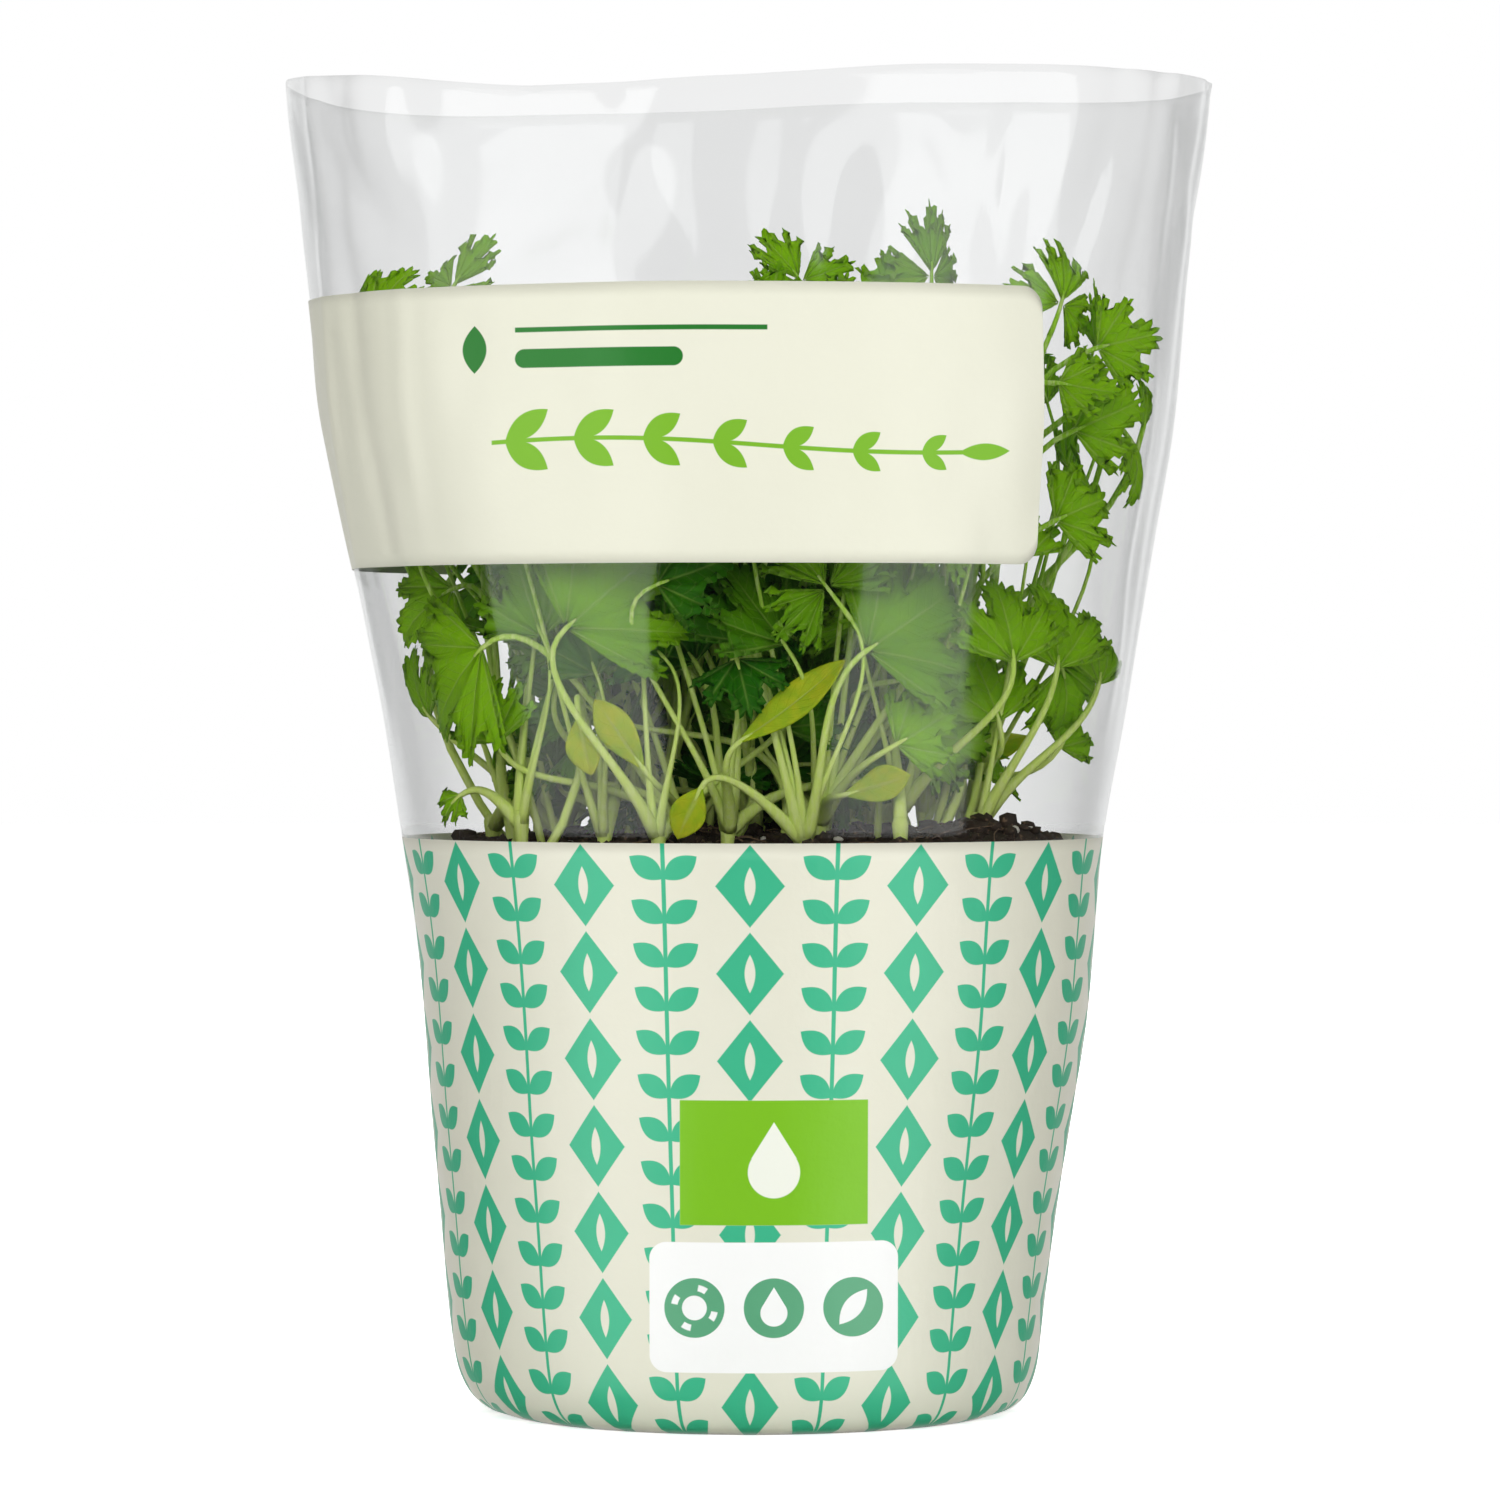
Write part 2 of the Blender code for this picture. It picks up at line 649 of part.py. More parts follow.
# Leaf stalks
def bezier(start, first, second, end, count):
    made = []
    for k in range(count):
        t = k / (count - 1)
        s = 1 - t
        made.append(start * s ** 3 + first * 3 * s * s * t + second * 3 * s * t * t + end * t ** 3)
    return made


def stalk_line(crown, leaf):
    """The stalk from inside the crown to a little way under the blade."""
    reach = (leaf.base - crown).length
    count = STALK_POINTS if leaf.kind != "seed" else SEED_STALK_POINTS
    sideways = Vector((leaf.base.x - crown.x, leaf.base.y - crown.y, 0))
    start = crown + sideways.normalized() * 0.0006 - Vector((0, 0, 0.0012))
    lift = sideways * 0.35 + Vector((0, 0, 0.35 * reach))
    line = bezier(start, start + lift, leaf.base - leaf.along * 0.30 * reach, leaf.base, count)
    return line + [leaf.base + leaf.along * STALK_UNDER_BLADE]


def turns_gently(line):
    """Whether no bend of the line is so sharp that a tube on it would cross itself."""
    steps = [(b - a).normalized() for a, b in zip(line, line[1:])]
    return all(before.dot(after) > LEAST_STALK_TURN for before, after in zip(steps, steps[1:]))


def stalk_radii(count):
    return [STALK_RADIUS + (STALK_TIP_RADIUS - STALK_RADIUS) * k / (count - 1) for k in range(count)]


def tube_shell(line, radii, extra):
    """A plain tube round the line, for the test of what it meets."""
    points, faces = [], []
    sides = 6
    for k, (p, r) in enumerate(zip(line, radii)):
        ahead = (line[min(k + 1, len(line) - 1)] - line[max(k - 1, 0)]).normalized()
        side = ahead.orthogonal().normalized()
        other = ahead.cross(side)
        for turn in range(sides):
            angle = 2 * math.pi / sides * turn
            points.append(p + (side * math.cos(angle) + other * math.sin(angle)) * (r + extra))
    for k in range(len(line) - 1):
        for turn in range(sides):
            a, b = sides * k + turn, sides * k + (turn + 1) % sides
            faces.append((a, b, b + sides, a + sides))
    return points, faces


def inside_sleeve(point, margin):
    z = min(max(point.z, 0.0), RIM_MEAN)
    depth = 1 - (1 - OVAL_DEPTH) * ease((z - OVAL_START) / (RIM_MEAN - OVAL_START))
    wall = sleeve_point(math.atan2(point.x, -point.y / depth), z).xy.length
    return point.xy.length < wall - margin


def over_soil(point, margin):
    edge = 0.0015 if point.xy.length > 0.055 else 0.0
    return point.z > soil_height(point.x, point.y) + margin + edge


Placed = namedtuple("Placed", "root part tree low high")


def boxed(root, part, points, faces):
    low = Vector([min(p[i] for p in points) for i in range(3)])
    high = Vector([max(p[i] for p in points) for i in range(3)])
    return Placed(root, part, BVHTree.FromPolygons(points, faces), low, high)


def meets(new, placed):
    for old in placed:
        if old.root == new.root and (old.part == "stem" or old.part == new.part == "stalk"):
            continue
        if any(new.low[i] > old.high[i] or old.low[i] > new.high[i] for i in range(3)):
            continue
        if new.tree.overlap(old.tree):
            return True
    return False


def root_places():
    places = []
    for k in range(ROOT_COUNT):
        radius = ROOT_DISC * math.sqrt((k + 0.6) / ROOT_COUNT)
        angle = k * GOLDEN_ANGLE
        places.append((radius * math.cos(angle), radius * math.sin(angle)))
    return places


def leaf_from_row(row, chance, effort):
    """A hand-placed leaf, shifted and turned more the harder it has been to fit."""
    kind, x, y, z, turn, tilt, length = row
    shift = Vector([chance.uniform(-1, 1) * 0.006 * effort for _ in range(3)])
    base = Vector((x, y, z)) * MM + shift
    turn = math.radians(turn + chance.uniform(-30, 30) * effort)
    tilt = math.radians(tilt + chance.uniform(-35, 35) * effort)
    along = Vector((math.sin(turn) * math.cos(tilt), -math.sin(tilt), math.cos(turn) * math.cos(tilt)))
    outward = Vector((base.x * 0.7, base.y - 0.02, 0.012)).normalized()
    face = outward + Vector([chance.uniform(-0.3, 0.3) for _ in range(3)])
    size = length * MM * (1 - 0.15 * effort)
    bend = chance.uniform(-0.5, 0.9) or 0.1
    return Leaf(kind, base, along, face, size, bend, chance.uniform(0.5, 3.0))


def filling_leaf(k, chance):
    """A leaf by rule: turned by the golden angle, filling the sleeve from the top down."""
    share = (k + chance.random()) / FILL_LEAVES
    z = 0.198 - 0.078 * share
    angle = k * GOLDEN_ANGLE + chance.uniform(-0.5, 0.5)
    wall = sleeve_point(angle, z)
    reach = chance.uniform(0.30, 0.82)
    base = Vector((wall.x * reach, wall.y * reach, z))
    outward = Vector((wall.x, wall.y, 0)).normalized()
    sideways = Vector((-outward.y, outward.x, 0)) * chance.uniform(-0.8, 0.8)
    upward = Vector((0, 0, chance.uniform(-0.3, 1.2)))
    along = (outward * chance.uniform(0.1, 0.9) + sideways + upward).normalized()
    face = outward * chance.uniform(0.2, 1.0) + Vector((0, 0, chance.uniform(0.2, 1.1)))
    kind = "simple" if chance.random() < 0.6 else "compound"
    length = chance.uniform(0.017, 0.024) if kind == "simple" else chance.uniform(0.023, 0.031)
    bend = chance.uniform(-0.4, 1.0) or 0.1
    return Leaf(kind, base, along, face, length, bend, chance.uniform(0.5, 3.0))


def fits(root, crown, leaf, placed, ceiling):
    """The stalk's and the blade's shells if the leaf meets nothing, or None."""
    if abs(leaf.face.normalized().dot(leaf.along)) > 0.93:
        return None
    points, faces = leaf_sheet(leaf)
    if not all(inside_sleeve(p, SLEEVE_CLEARANCE) and over_soil(p, 0.0016) for p in points):
        return None
    if any(p.z > ceiling for p in points):
        return None
    line = stalk_line(crown, leaf)
    if not turns_gently([crown - Vector((0, 0, 0.004)), crown, *line[1:]]):
        return None
    if not all(inside_sleeve(p, SLEEVE_CLEARANCE + STALK_RADIUS) for p in line):
        return None
    if not all(over_soil(p, 0.0025) for p in line[1:]):
        return None
    blade = boxed(root, "blade", *sheet_shell(points, faces, LEAF_THICKNESS / 2 + LEAF_CLEARANCE))
    if meets(blade, placed):
        return None
    stalk = boxed(root, "stalk", *tube_shell(line, stalk_radii(len(line)), LEAF_CLEARANCE))
    if meets(stalk, placed):
        return None
    blade = boxed(root, "blade", *sheet_shell(points, faces, LEAF_THICKNESS / 2))
    stalk = boxed(root, "stalk", *tube_shell(line, stalk_radii(len(line)), 0.0))
    return blade, stalk


def crown_of(root, chance):
    x, y = root
    height = chance.uniform(0.004, 0.009)
    lean = Vector((chance.uniform(-0.001, 0.001), chance.uniform(-0.001, 0.001), height))
    return Vector((x, y, soil_height(x, y))) + lean


def plan_seedlings():
    """Gives every leaf a root, a stalk and a place where it meets nothing."""
    chance = random.Random(SEED)
    roots = root_places()
    crowns = [crown_of(root, chance) for root in roots]
    seedlings = [Seedling(root, crown, []) for root, crown in zip(roots, crowns)]
    placed = []
    for k, (root, crown) in enumerate(zip(roots, crowns)):
        foot = Vector((*root, soil_height(*root) - ROOT_DEPTH))
        line = [foot, foot + Vector((0, 0, ROOT_DEPTH + 0.001)), crown]
        placed.append(boxed(k, "stem", *tube_shell(line, [STEM_RADIUS] * 3, 0.0)))
    requests = [(row, None) for row in PLACED_LEAVES] + [(None, k) for k in range(FILL_LEAVES)]
    for row, number in requests:
        for attempt in range(90):
            leaf = leaf_from_row(row, chance, min(attempt / 60, 1.0)) if row else filling_leaf(number, chance)
            under = leaf.base * 0.66
            near = sorted(range(ROOT_COUNT), key=lambda k: (crowns[k].xy - under.xy).length)
            most = LEAVES_PER_ROOT + (leaf.kind == "seed")
            free = [k for k in near if len(seedlings[k].leaves) < most]
            root = free[attempt % min(5, len(free))]
            found = fits(root, crowns[root], leaf, placed, LEAF_CEILING if row else FILL_CEILING)
            if found:
                placed += found
                seedlings[root].leaves.append(leaf)
                break
    return seedlings


# Building the seedlings
def stalk_section():
    """The stalks' cross-section, as a closed guide curve of radius 1."""
    curve = bpy.data.curves.new("stalk_section", "CURVE")
    curve.dimensions = "2D"
    spline = curve.splines.new("POLY")
    spline.points.add(STALK_SIDES - 1)
    for k, point in enumerate(spline.points):
        angle = 2 * math.pi * k / STALK_SIDES
        point.co = (math.cos(angle), math.sin(angle), 0.0, 1.0)
    spline.use_cyclic_u = True
    section = bpy.data.objects.new("stalk_section", curve)
    section.hide_render = True
    CUTTERS.objects.link(section)
    return section


def tube_object(name, line, radii, home):
    """A stem: a curve swept with the section and capped, made a mesh and welded at its caps."""
    curve = bpy.data.curves.new(name, "CURVE")
    curve.dimensions = "3D"
    curve.bevel_mode = "OBJECT"
    curve.bevel_object = bpy.data.objects["stalk_section"]
    curve.use_fill_caps = True
    spline = curve.splines.new("POLY")
    spline.points.add(len(line) - 1)
    for point, place, radius in zip(spline.points, line, radii):
        point.co = (*place, 1.0)
        point.radius = radius
    guide = bpy.data.objects.new(name + "_guide", curve)
    home.objects.link(guide)
    graph = bpy.context.evaluated_depsgraph_get()
    graph.update()
    mesh = bpy.data.meshes.new_from_object(guide.evaluated_get(graph))
    bpy.data.objects.remove(guide, do_unlink=True)
    shape = bmesh.new()
    shape.from_mesh(mesh)
    bmesh.ops.remove_doubles(shape, verts=shape.verts, dist=0.00001)
    bmesh.ops.recalc_face_normals(shape, faces=shape.faces)
    bmesh.ops.triangulate(shape, faces=shape.faces)
    shape.to_mesh(mesh)
    shape.free()
    tube = bpy.data.objects.new(name, mesh)
    home.objects.link(tube)
    return tube


def blade_object(name, leaf, home):
    points, faces = leaf_sheet(leaf)
    blade = mesh_object(name, points, faces, None, home)
    return applied(solidified(blade, LEAF_THICKNESS, 0.0))


def build_seedling(number, seedling, finish):
    """One plant: its stem, leaf stalks and blades, joined by one Boolean union."""
    name = f"seedling_{number:02d}"
    pieces = bpy.data.collections.new(name + "_pieces")
    CUTTERS.children.link(pieces)
    first, *others = seedling.leaves
    foot = Vector((*seedling.root, soil_height(*seedling.root) - ROOT_DEPTH))
    stalk = stalk_line(seedling.crown, first)[1:]
    line = [foot, foot + Vector((0, 0, ROOT_DEPTH + 0.001)), seedling.crown, *stalk]
    stem = tube_object(name, line, [STEM_RADIUS] * 3 + stalk_radii(len(stalk)), CORIANDER)
    stem.data.materials.append(finish)
    blade_object(name + "_blade", first, pieces)
    for k, leaf in enumerate(others):
        line = stalk_line(seedling.crown, leaf)
        tube_object(f"{name}_stalk_{k}", line, stalk_radii(len(line)), pieces)
        blade_object(f"{name}_blade_{k}", leaf, pieces)
    union = stem.modifiers.new("joined", "BOOLEAN")
    union.operation = "UNION"
    union.operand_type = "COLLECTION"
    union.collection = pieces
    union.solver = "MANIFOLD"
    applied(stem)
    keep_outer_body(stem)
    for piece in list(pieces.objects):
        bpy.data.objects.remove(piece, do_unlink=True)
    bpy.data.collections.remove(pieces)
    shade_round(stem, 60.0)


def main():
    clear_scene()
    seedlings = [s for s in plan_seedlings() if s.leaves]
    make_print(material("printed film", (0.86, 0.85, 0.71), 0.35))
    make_film(material("clear film", (0.95, 0.96, 0.96), 0.08, 0.2))
    make_label(material("printed label", (0.86, 0.85, 0.71), 0.35))
    make_pot(material("pot plastic", (0.03, 0.028, 0.026), 0.5))
    make_soil(material("peat soil", (0.035, 0.022, 0.014), 0.95), [s.root for s in seedlings])
    green = material("coriander green", (0.12, 0.28, 0.025), 0.45)
    stalk_section()
    for number, seedling in enumerate(seedlings, 1):
        build_seedling(number, seedling, green)


main()
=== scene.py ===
import itertools
import math
import random
from collections import namedtuple

import bpy
import numpy as np
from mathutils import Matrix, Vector, noise
from mathutils.bvhtree import BVHTree


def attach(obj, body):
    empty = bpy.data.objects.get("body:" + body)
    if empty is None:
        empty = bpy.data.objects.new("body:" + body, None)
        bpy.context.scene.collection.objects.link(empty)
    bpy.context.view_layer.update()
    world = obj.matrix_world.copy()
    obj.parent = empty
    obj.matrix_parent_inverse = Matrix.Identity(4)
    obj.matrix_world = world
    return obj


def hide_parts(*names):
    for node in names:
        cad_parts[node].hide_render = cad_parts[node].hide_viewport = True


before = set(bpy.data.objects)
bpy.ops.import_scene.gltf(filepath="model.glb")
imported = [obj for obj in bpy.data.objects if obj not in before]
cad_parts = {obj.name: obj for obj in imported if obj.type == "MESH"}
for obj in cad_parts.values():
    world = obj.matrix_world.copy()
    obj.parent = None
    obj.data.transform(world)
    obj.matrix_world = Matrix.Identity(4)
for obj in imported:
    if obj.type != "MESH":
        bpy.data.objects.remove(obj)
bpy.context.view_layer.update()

MM = 0.001


# Nursery pot: a thin dark pot, moulded in recycled polypropylene, with a plain lip. It stands
# on the sleeve's base, and only the lip shows, from above, between the film and the peat.
class Field:
    """What a material works out at each point, as one socket of its nodes. Sums add Math nodes."""

    def __init__(self, socket):
        self.socket = socket

    def node(self, kind, settings, sockets, output=0):
        """Adds a node of this type to the same material, its settings first, then its sockets."""
        tree = self.socket.id_data
        made = tree.nodes.new("ShaderNode" + kind)
        for key, value in settings.items():
            setattr(made, key, value)
        for key, value in sockets.items():
            if isinstance(value, Field):
                tree.links.new(value.socket, made.inputs[key])
            elif made.inputs[key].type == "RGBA":
                made.inputs[key].default_value = (*value, 1.0)
            else:
                made.inputs[key].default_value = value
        return Field(made.outputs[output])

    def worked(self, operation, first, second=0.0):
        return self.node("Math", {"operation": operation}, {0: first, 1: second})

    def __add__(self, other):
        return self.worked("ADD", self, other)

    def __sub__(self, other):
        return self.worked("SUBTRACT", self, other)

    def __rsub__(self, other):
        return self.worked("SUBTRACT", other, self)

    def __mul__(self, other):
        return self.worked("MULTIPLY", self, other)

    def __truediv__(self, other):
        return self.worked("DIVIDE", self, other)

    def __abs__(self):
        return self.worked("ABSOLUTE", self)

    __radd__ = __add__
    __rmul__ = __mul__

    def fraction(self):
        return self.worked("FRACT", self)

    def whole(self):
        return self.worked("FLOOR", self)

    def sine(self):
        return self.worked("SINE", self)

    def least(self, other):
        return self.worked("MINIMUM", self, other)

    def most(self, other):
        return self.worked("MAXIMUM", self, other)

    def between(self, low, high):
        """0 below low and 1 above high, or the other way round, with a soft step."""
        return self.node("MapRange", {"interpolation_type": "SMOOTHSTEP"}, {0: self, 1: low, 2: high})

    def mixed(self, first, second):
        """The first colour where this is 0, and the second where it is 1."""
        return self.node("Mix", {"data_type": "RGBA"}, {0: self, 6: first, 7: second}, 2)

    def axis(self, name):
        return self.node("SeparateXYZ", {}, {0: self}, "XYZ".index(name))

    def scaled(self, x, y, z):
        """This vector with its three numbers multiplied by these."""
        return self.node("VectorMath", {"operation": "MULTIPLY"}, {0: self, 1: (x, y, z)})

    def grain(self, scale, detail=3.0, roughness=0.5):
        """Noise from 0 to 1, whose lumps are about 1/scale metres wide."""
        sockets = {"Vector": self, "Scale": scale, "Detail": detail, "Roughness": roughness}
        return self.node("TexNoise", {"noise_dimensions": "3D"}, sockets)

    def bump(self, depth, strength=1.0):
        return self.node("Bump", {}, {"Height": self, "Strength": strength, "Distance": depth})


def new_finish(name, colour, roughness, **constants):
    """A material, its Principled shader, and the place in the object as a field."""
    made = bpy.data.materials.new(name)
    made.use_nodes = True
    shader = made.node_tree.nodes["Principled BSDF"]
    shader.inputs["Base Color"].default_value = (*colour, 1.0)
    shader.inputs["Roughness"].default_value = roughness
    for key, value in constants.items():
        shader.inputs[key.replace("_", " ")].default_value = value
    made.diffuse_color = (*colour, 1.0)
    place = made.node_tree.nodes.new("ShaderNodeTexCoord").outputs["Object"]
    return made, shader, Field(place)


def feed(shader, **fields):
    for key, field in fields.items():
        shader.id_data.links.new(field.socket, shader.inputs[key.replace("_", " ")])


pot_plastic, shader, place = new_finish("pot_plastic", (0.03, 0.028, 0.026), 0.45)
pores = place.grain(900.0, 4.0)
dust = place.axis("Z").between(0.088, 0.106) * place.grain(170.0, 5.0).between(0.42, 0.66)
feed(
    shader,
    Base_Color=dust.mixed((0.020, 0.019, 0.018), (0.085, 0.065, 0.045)),
    Roughness=0.36 + 0.2 * pores + 0.3 * dust,
    Normal=pores.bump(0.0001, 0.4),
)
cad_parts["pot"].material_slots[0].material = pot_plastic

# Peat: dark moist potting peat with fibres and a few white grains, filled to just under the
# pot's lip. Its body is one fine mesh, and crumbs, fibres and grains lie half sunk in it.
POT_BASE_Z = 0.0009
POT_LIP_BOTTOM = 0.0980
SOIL_FLOOR = POT_BASE_Z + 0.0034
SOIL_BASE_RADIUS = 0.0450
SOIL_RADIUS = 0.0590
SOIL_TOP = 0.1050
SOIL_WALL_TOP = 0.1015
SOIL_LUMP = 0.0016
SOIL_LUMP_SIZE = 0.016
SOIL_COLUMNS = 192
SOIL_RINGS = 64


def soil_height(x, y):
    lump = noise.noise(Vector((x, y, 0.3)) / SOIL_LUMP_SIZE)
    lump += 0.5 * noise.noise(Vector((x, y, 7.7)) * 2 / SOIL_LUMP_SIZE)
    rise = 0.0018 * math.exp(-((x - 0.045) ** 2 + (y + 0.015) ** 2) / 0.0003)
    return SOIL_TOP + SOIL_LUMP * lump + rise


def crumbly_height(x, y):
    """The peat's surface with its small lumps, sinking a little at the pot's wall."""
    lump = 0.9 * noise.noise(Vector((x, y, 1.0)) / 0.0034)
    lump += 0.55 * noise.noise(Vector((x, y, 5.0)) / 0.0015)
    mound = 0.0042 * math.exp(-(x ** 2 + (y - 0.004) ** 2) / 0.0016)
    mound += 0.0026 * math.exp(-((x - 0.042) ** 2 + (y + 0.022) ** 2) / 0.00012)
    at_wall = 0.0012 * max(0.0, math.hypot(x, y) / SOIL_RADIUS - 0.93) / 0.07
    return soil_height(x, y) + mound + 0.0007 * lump - at_wall


def new_piece(name, points, faces, finish, slot, **marks):
    """A piece of the plant from its points and faces, with marks for its material at each point."""
    mesh = bpy.data.meshes.new(name)
    faces = faces if isinstance(faces, list) else faces.tolist()
    mesh.from_pydata(np.asarray(points, float).tolist(), [], faces)
    for mark, values in marks.items():
        field = mesh.attributes.new(mark, "FLOAT_VECTOR", "POINT")
        field.data.foreach_set("vector", np.asarray(values, np.float32).ravel())
    mesh.shade_smooth()
    mesh.materials.append(finish)
    made = bpy.data.objects.new(name, mesh)
    bpy.context.scene.collection.objects.link(made)
    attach(made, "root")
    return made


def ring_faces(rows, columns, start=0):
    """Quads between closed rings of points, facing out where the rings go up and round to the left."""
    row, k = np.meshgrid(np.arange(rows - 1), np.arange(columns), indexing="ij")
    a = start + row * columns + k
    b = start + row * columns + (k + 1) % columns
    return np.stack([a, b, b + columns, a + columns], -1).reshape(-1, 4)


def joined(shells):
    """Several shells, each its points, its quads and its marks, as one."""
    sizes = np.cumsum([0] + [len(points) for points, _, _ in shells[:-1]])
    faces = np.concatenate([quads + start for (_, quads, _), start in zip(shells, sizes)])
    return np.concatenate([s[0] for s in shells]), faces, np.concatenate([s[2] for s in shells])


peat, shader, place = new_finish("peat", (0.03, 0.019, 0.012), 0.92)
clods = place.grain(330.0, 5.0, 0.6)
specks = place.grain(1500.0, 3.0)
strands = place.scaled(1.0, 0.25, 1.0).grain(900.0, 2.0).between(0.60, 0.72)
feed(
    shader,
    Base_Color=strands.mixed(clods.mixed((0.010, 0.006, 0.004), (0.060, 0.038, 0.024)), (0.16, 0.10, 0.06)),
    Roughness=0.80 + 0.18 * clods,
    Normal=(clods + 0.5 * specks).bump(0.0007, 0.8),
)

turns = np.linspace(0.0, 2 * math.pi, SOIL_COLUMNS, endpoint=False)
rings = []
wall = ((SOIL_BASE_RADIUS, SOIL_FLOOR), (SOIL_RADIUS, POT_LIP_BOTTOM), (SOIL_RADIUS, SOIL_WALL_TOP))
for radius, z in wall:
    rings += [(radius * math.cos(t), radius * math.sin(t), z) for t in turns]
for radius in np.linspace(SOIL_RADIUS - 0.0006, 0.0008, SOIL_RINGS):
    for t in turns:
        x, y = radius * math.cos(t), radius * math.sin(t)
        rings.append((x, y, crumbly_height(x, y)))
faces = ring_faces(len(wall) + SOIL_RINGS, SOIL_COLUMNS).tolist()
last = len(rings) - SOIL_COLUMNS
faces.append(list(range(last, last + SOIL_COLUMNS)))
faces.append(list(range(SOIL_COLUMNS - 1, -1, -1)))
peat_body = new_piece("peat_body", rings, faces, peat, "peat_soil")
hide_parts("soil")

CRUMB_COUNT = 1250
GRAIN_COUNT = 85
FIBRE_COUNT = 170
FIBRE_STEPS = 6
# A cube with each side in four, pressed round, is the start of a crumb: 26 points and 24 quads
CUBE_STEPS = (-1.0, 0.0, 1.0)
crumb_points = [p for p in itertools.product(CUBE_STEPS, repeat=3) if any(p)]
crumb_index = {p: i for i, p in enumerate(crumb_points)}
crumb_quads = []
for axis, side, u, v in itertools.product(range(3), (-1.0, 1.0), (-1.0, 0.0), (-1.0, 0.0)):
    corners = []
    for du, dv in ((0, 0), (1, 0), (1, 1), (0, 1)):
        corner = [0.0, 0.0, 0.0]
        corner[axis] = side
        corner[(axis + 1) % 3] = u + du
        corner[(axis + 2) % 3] = v + dv
        corners.append(crumb_index[tuple(corner)])
    crumb_quads.append(corners if side > 0 else corners[::-1])
crumb_points = np.array(crumb_points)
crumb_points /= np.linalg.norm(crumb_points, axis=1)[:, None]
crumb_quads = np.array(crumb_quads)


def scattered_crumbs(count, smallest, largest, roughness, draw):
    """Lumps that lie half sunk in the peat, each its own closed shell."""
    shells = []
    for _ in range(count):
        radius = (SOIL_RADIUS - 0.002) * math.sqrt(draw.random())
        angle = draw.uniform(0.0, 2 * math.pi)
        x, y = radius * math.cos(angle), radius * math.sin(angle)
        size = smallest + (largest - smallest) * draw.random() ** 2.2
        rough = 1 + roughness * np.array([draw.uniform(-1, 1) for _ in crumb_points])
        stretch = np.array([draw.uniform(0.7, 1.3), draw.uniform(0.7, 1.3), draw.uniform(0.6, 1.0)])
        turn = draw.uniform(0, math.pi)
        cosine, sine = math.cos(turn), math.sin(turn)
        spun = np.array([[cosine, -sine, 0], [sine, cosine, 0], [0, 0, 1]])
        lump = (crumb_points * rough[:, None] * stretch * size) @ spun.T
        lump += np.array([x, y, crumbly_height(x, y) + 0.25 * size])
        shells.append((lump, crumb_quads, np.full((len(lump), 3), draw.random())))
    return joined(shells)


draw = random.Random(5)
points, faces, _ = scattered_crumbs(CRUMB_COUNT, 0.0005, 0.0021, 0.28, draw)
new_piece("peat_crumbs", points, faces, peat, "peat_soil")
white_grain, shader, place = new_finish("white_grain", (0.72, 0.70, 0.64), 0.8)
pores = place.grain(2400.0, 4.0)
feed(shader, Base_Color=pores.mixed((0.80, 0.78, 0.72), (0.42, 0.37, 0.30)), Normal=pores.bump(0.0002))
points, faces, _ = scattered_crumbs(GRAIN_COUNT, 0.0005, 0.0013, 0.16, draw)
new_piece("white_grains", points, faces, white_grain, "peat_soil")


def tube(line, radii, sides, marks):
    """A closed round tube along a line of points, with quads for its two ends."""
    line = np.asarray(line, float)
    ahead = np.gradient(line, axis=0)
    ahead /= np.linalg.norm(ahead, axis=1)[:, None]
    side = np.cross(ahead[0], (0.31, 0.87, 0.38))
    angles = 2 * math.pi * np.arange(sides) / sides
    rings = []
    for p, d, r in zip(line, ahead, radii):
        side = side - d * side.dot(d)
        side /= np.linalg.norm(side)
        other = np.cross(d, side)
        rings.append(p + r * (np.outer(np.cos(angles), side) + np.outer(np.sin(angles), other)))
    faces = ring_faces(len(line), sides).tolist()
    last = (len(line) - 1) * sides
    for k in range(sides // 2 - 1):
        cap = (k, k + 1, sides - 2 - k, sides - 1 - k)
        faces.append(cap[::-1])
        faces.append([last + corner for corner in cap])
    return np.concatenate(rings), np.array(faces), np.repeat(np.asarray(marks, float), sides, axis=0)


peat_fibre, shader, place = new_finish("peat_fibre", (0.13, 0.075, 0.04), 0.85)
feed(shader, Base_Color=place.grain(420.0, 3.0).mixed((0.035, 0.020, 0.012), (0.26, 0.17, 0.10)))
shells = []
for _ in range(FIBRE_COUNT):
    radius = (SOIL_RADIUS - 0.004) * math.sqrt(draw.random())
    angle = draw.uniform(0.0, 2 * math.pi)
    heading = draw.uniform(0.0, 2 * math.pi)
    curl = draw.uniform(-1.6, 1.6)
    length = draw.uniform(0.004, 0.016)
    x, y = radius * math.cos(angle), radius * math.sin(angle)
    line = []
    for k in range(FIBRE_STEPS + 1):
        if math.hypot(x, y) > SOIL_RADIUS - 0.002:
            break
        lift = 0.0004 + 0.0006 * math.sin(math.pi * k / FIBRE_STEPS)
        line.append((x, y, crumbly_height(x, y) + lift))
        x += length / FIBRE_STEPS * math.cos(heading + curl * k / FIBRE_STEPS)
        y += length / FIBRE_STEPS * math.sin(heading + curl * k / FIBRE_STEPS)
    if len(line) > 3:
        thick = draw.uniform(0.00010, 0.00024)
        shells.append(tube(line, [thick] * len(line), 4, np.zeros((len(line), 3))))
points, faces, marks = joined(shells)
new_piece("peat_fibres", points, faces, peat_fibre, "peat_soil")

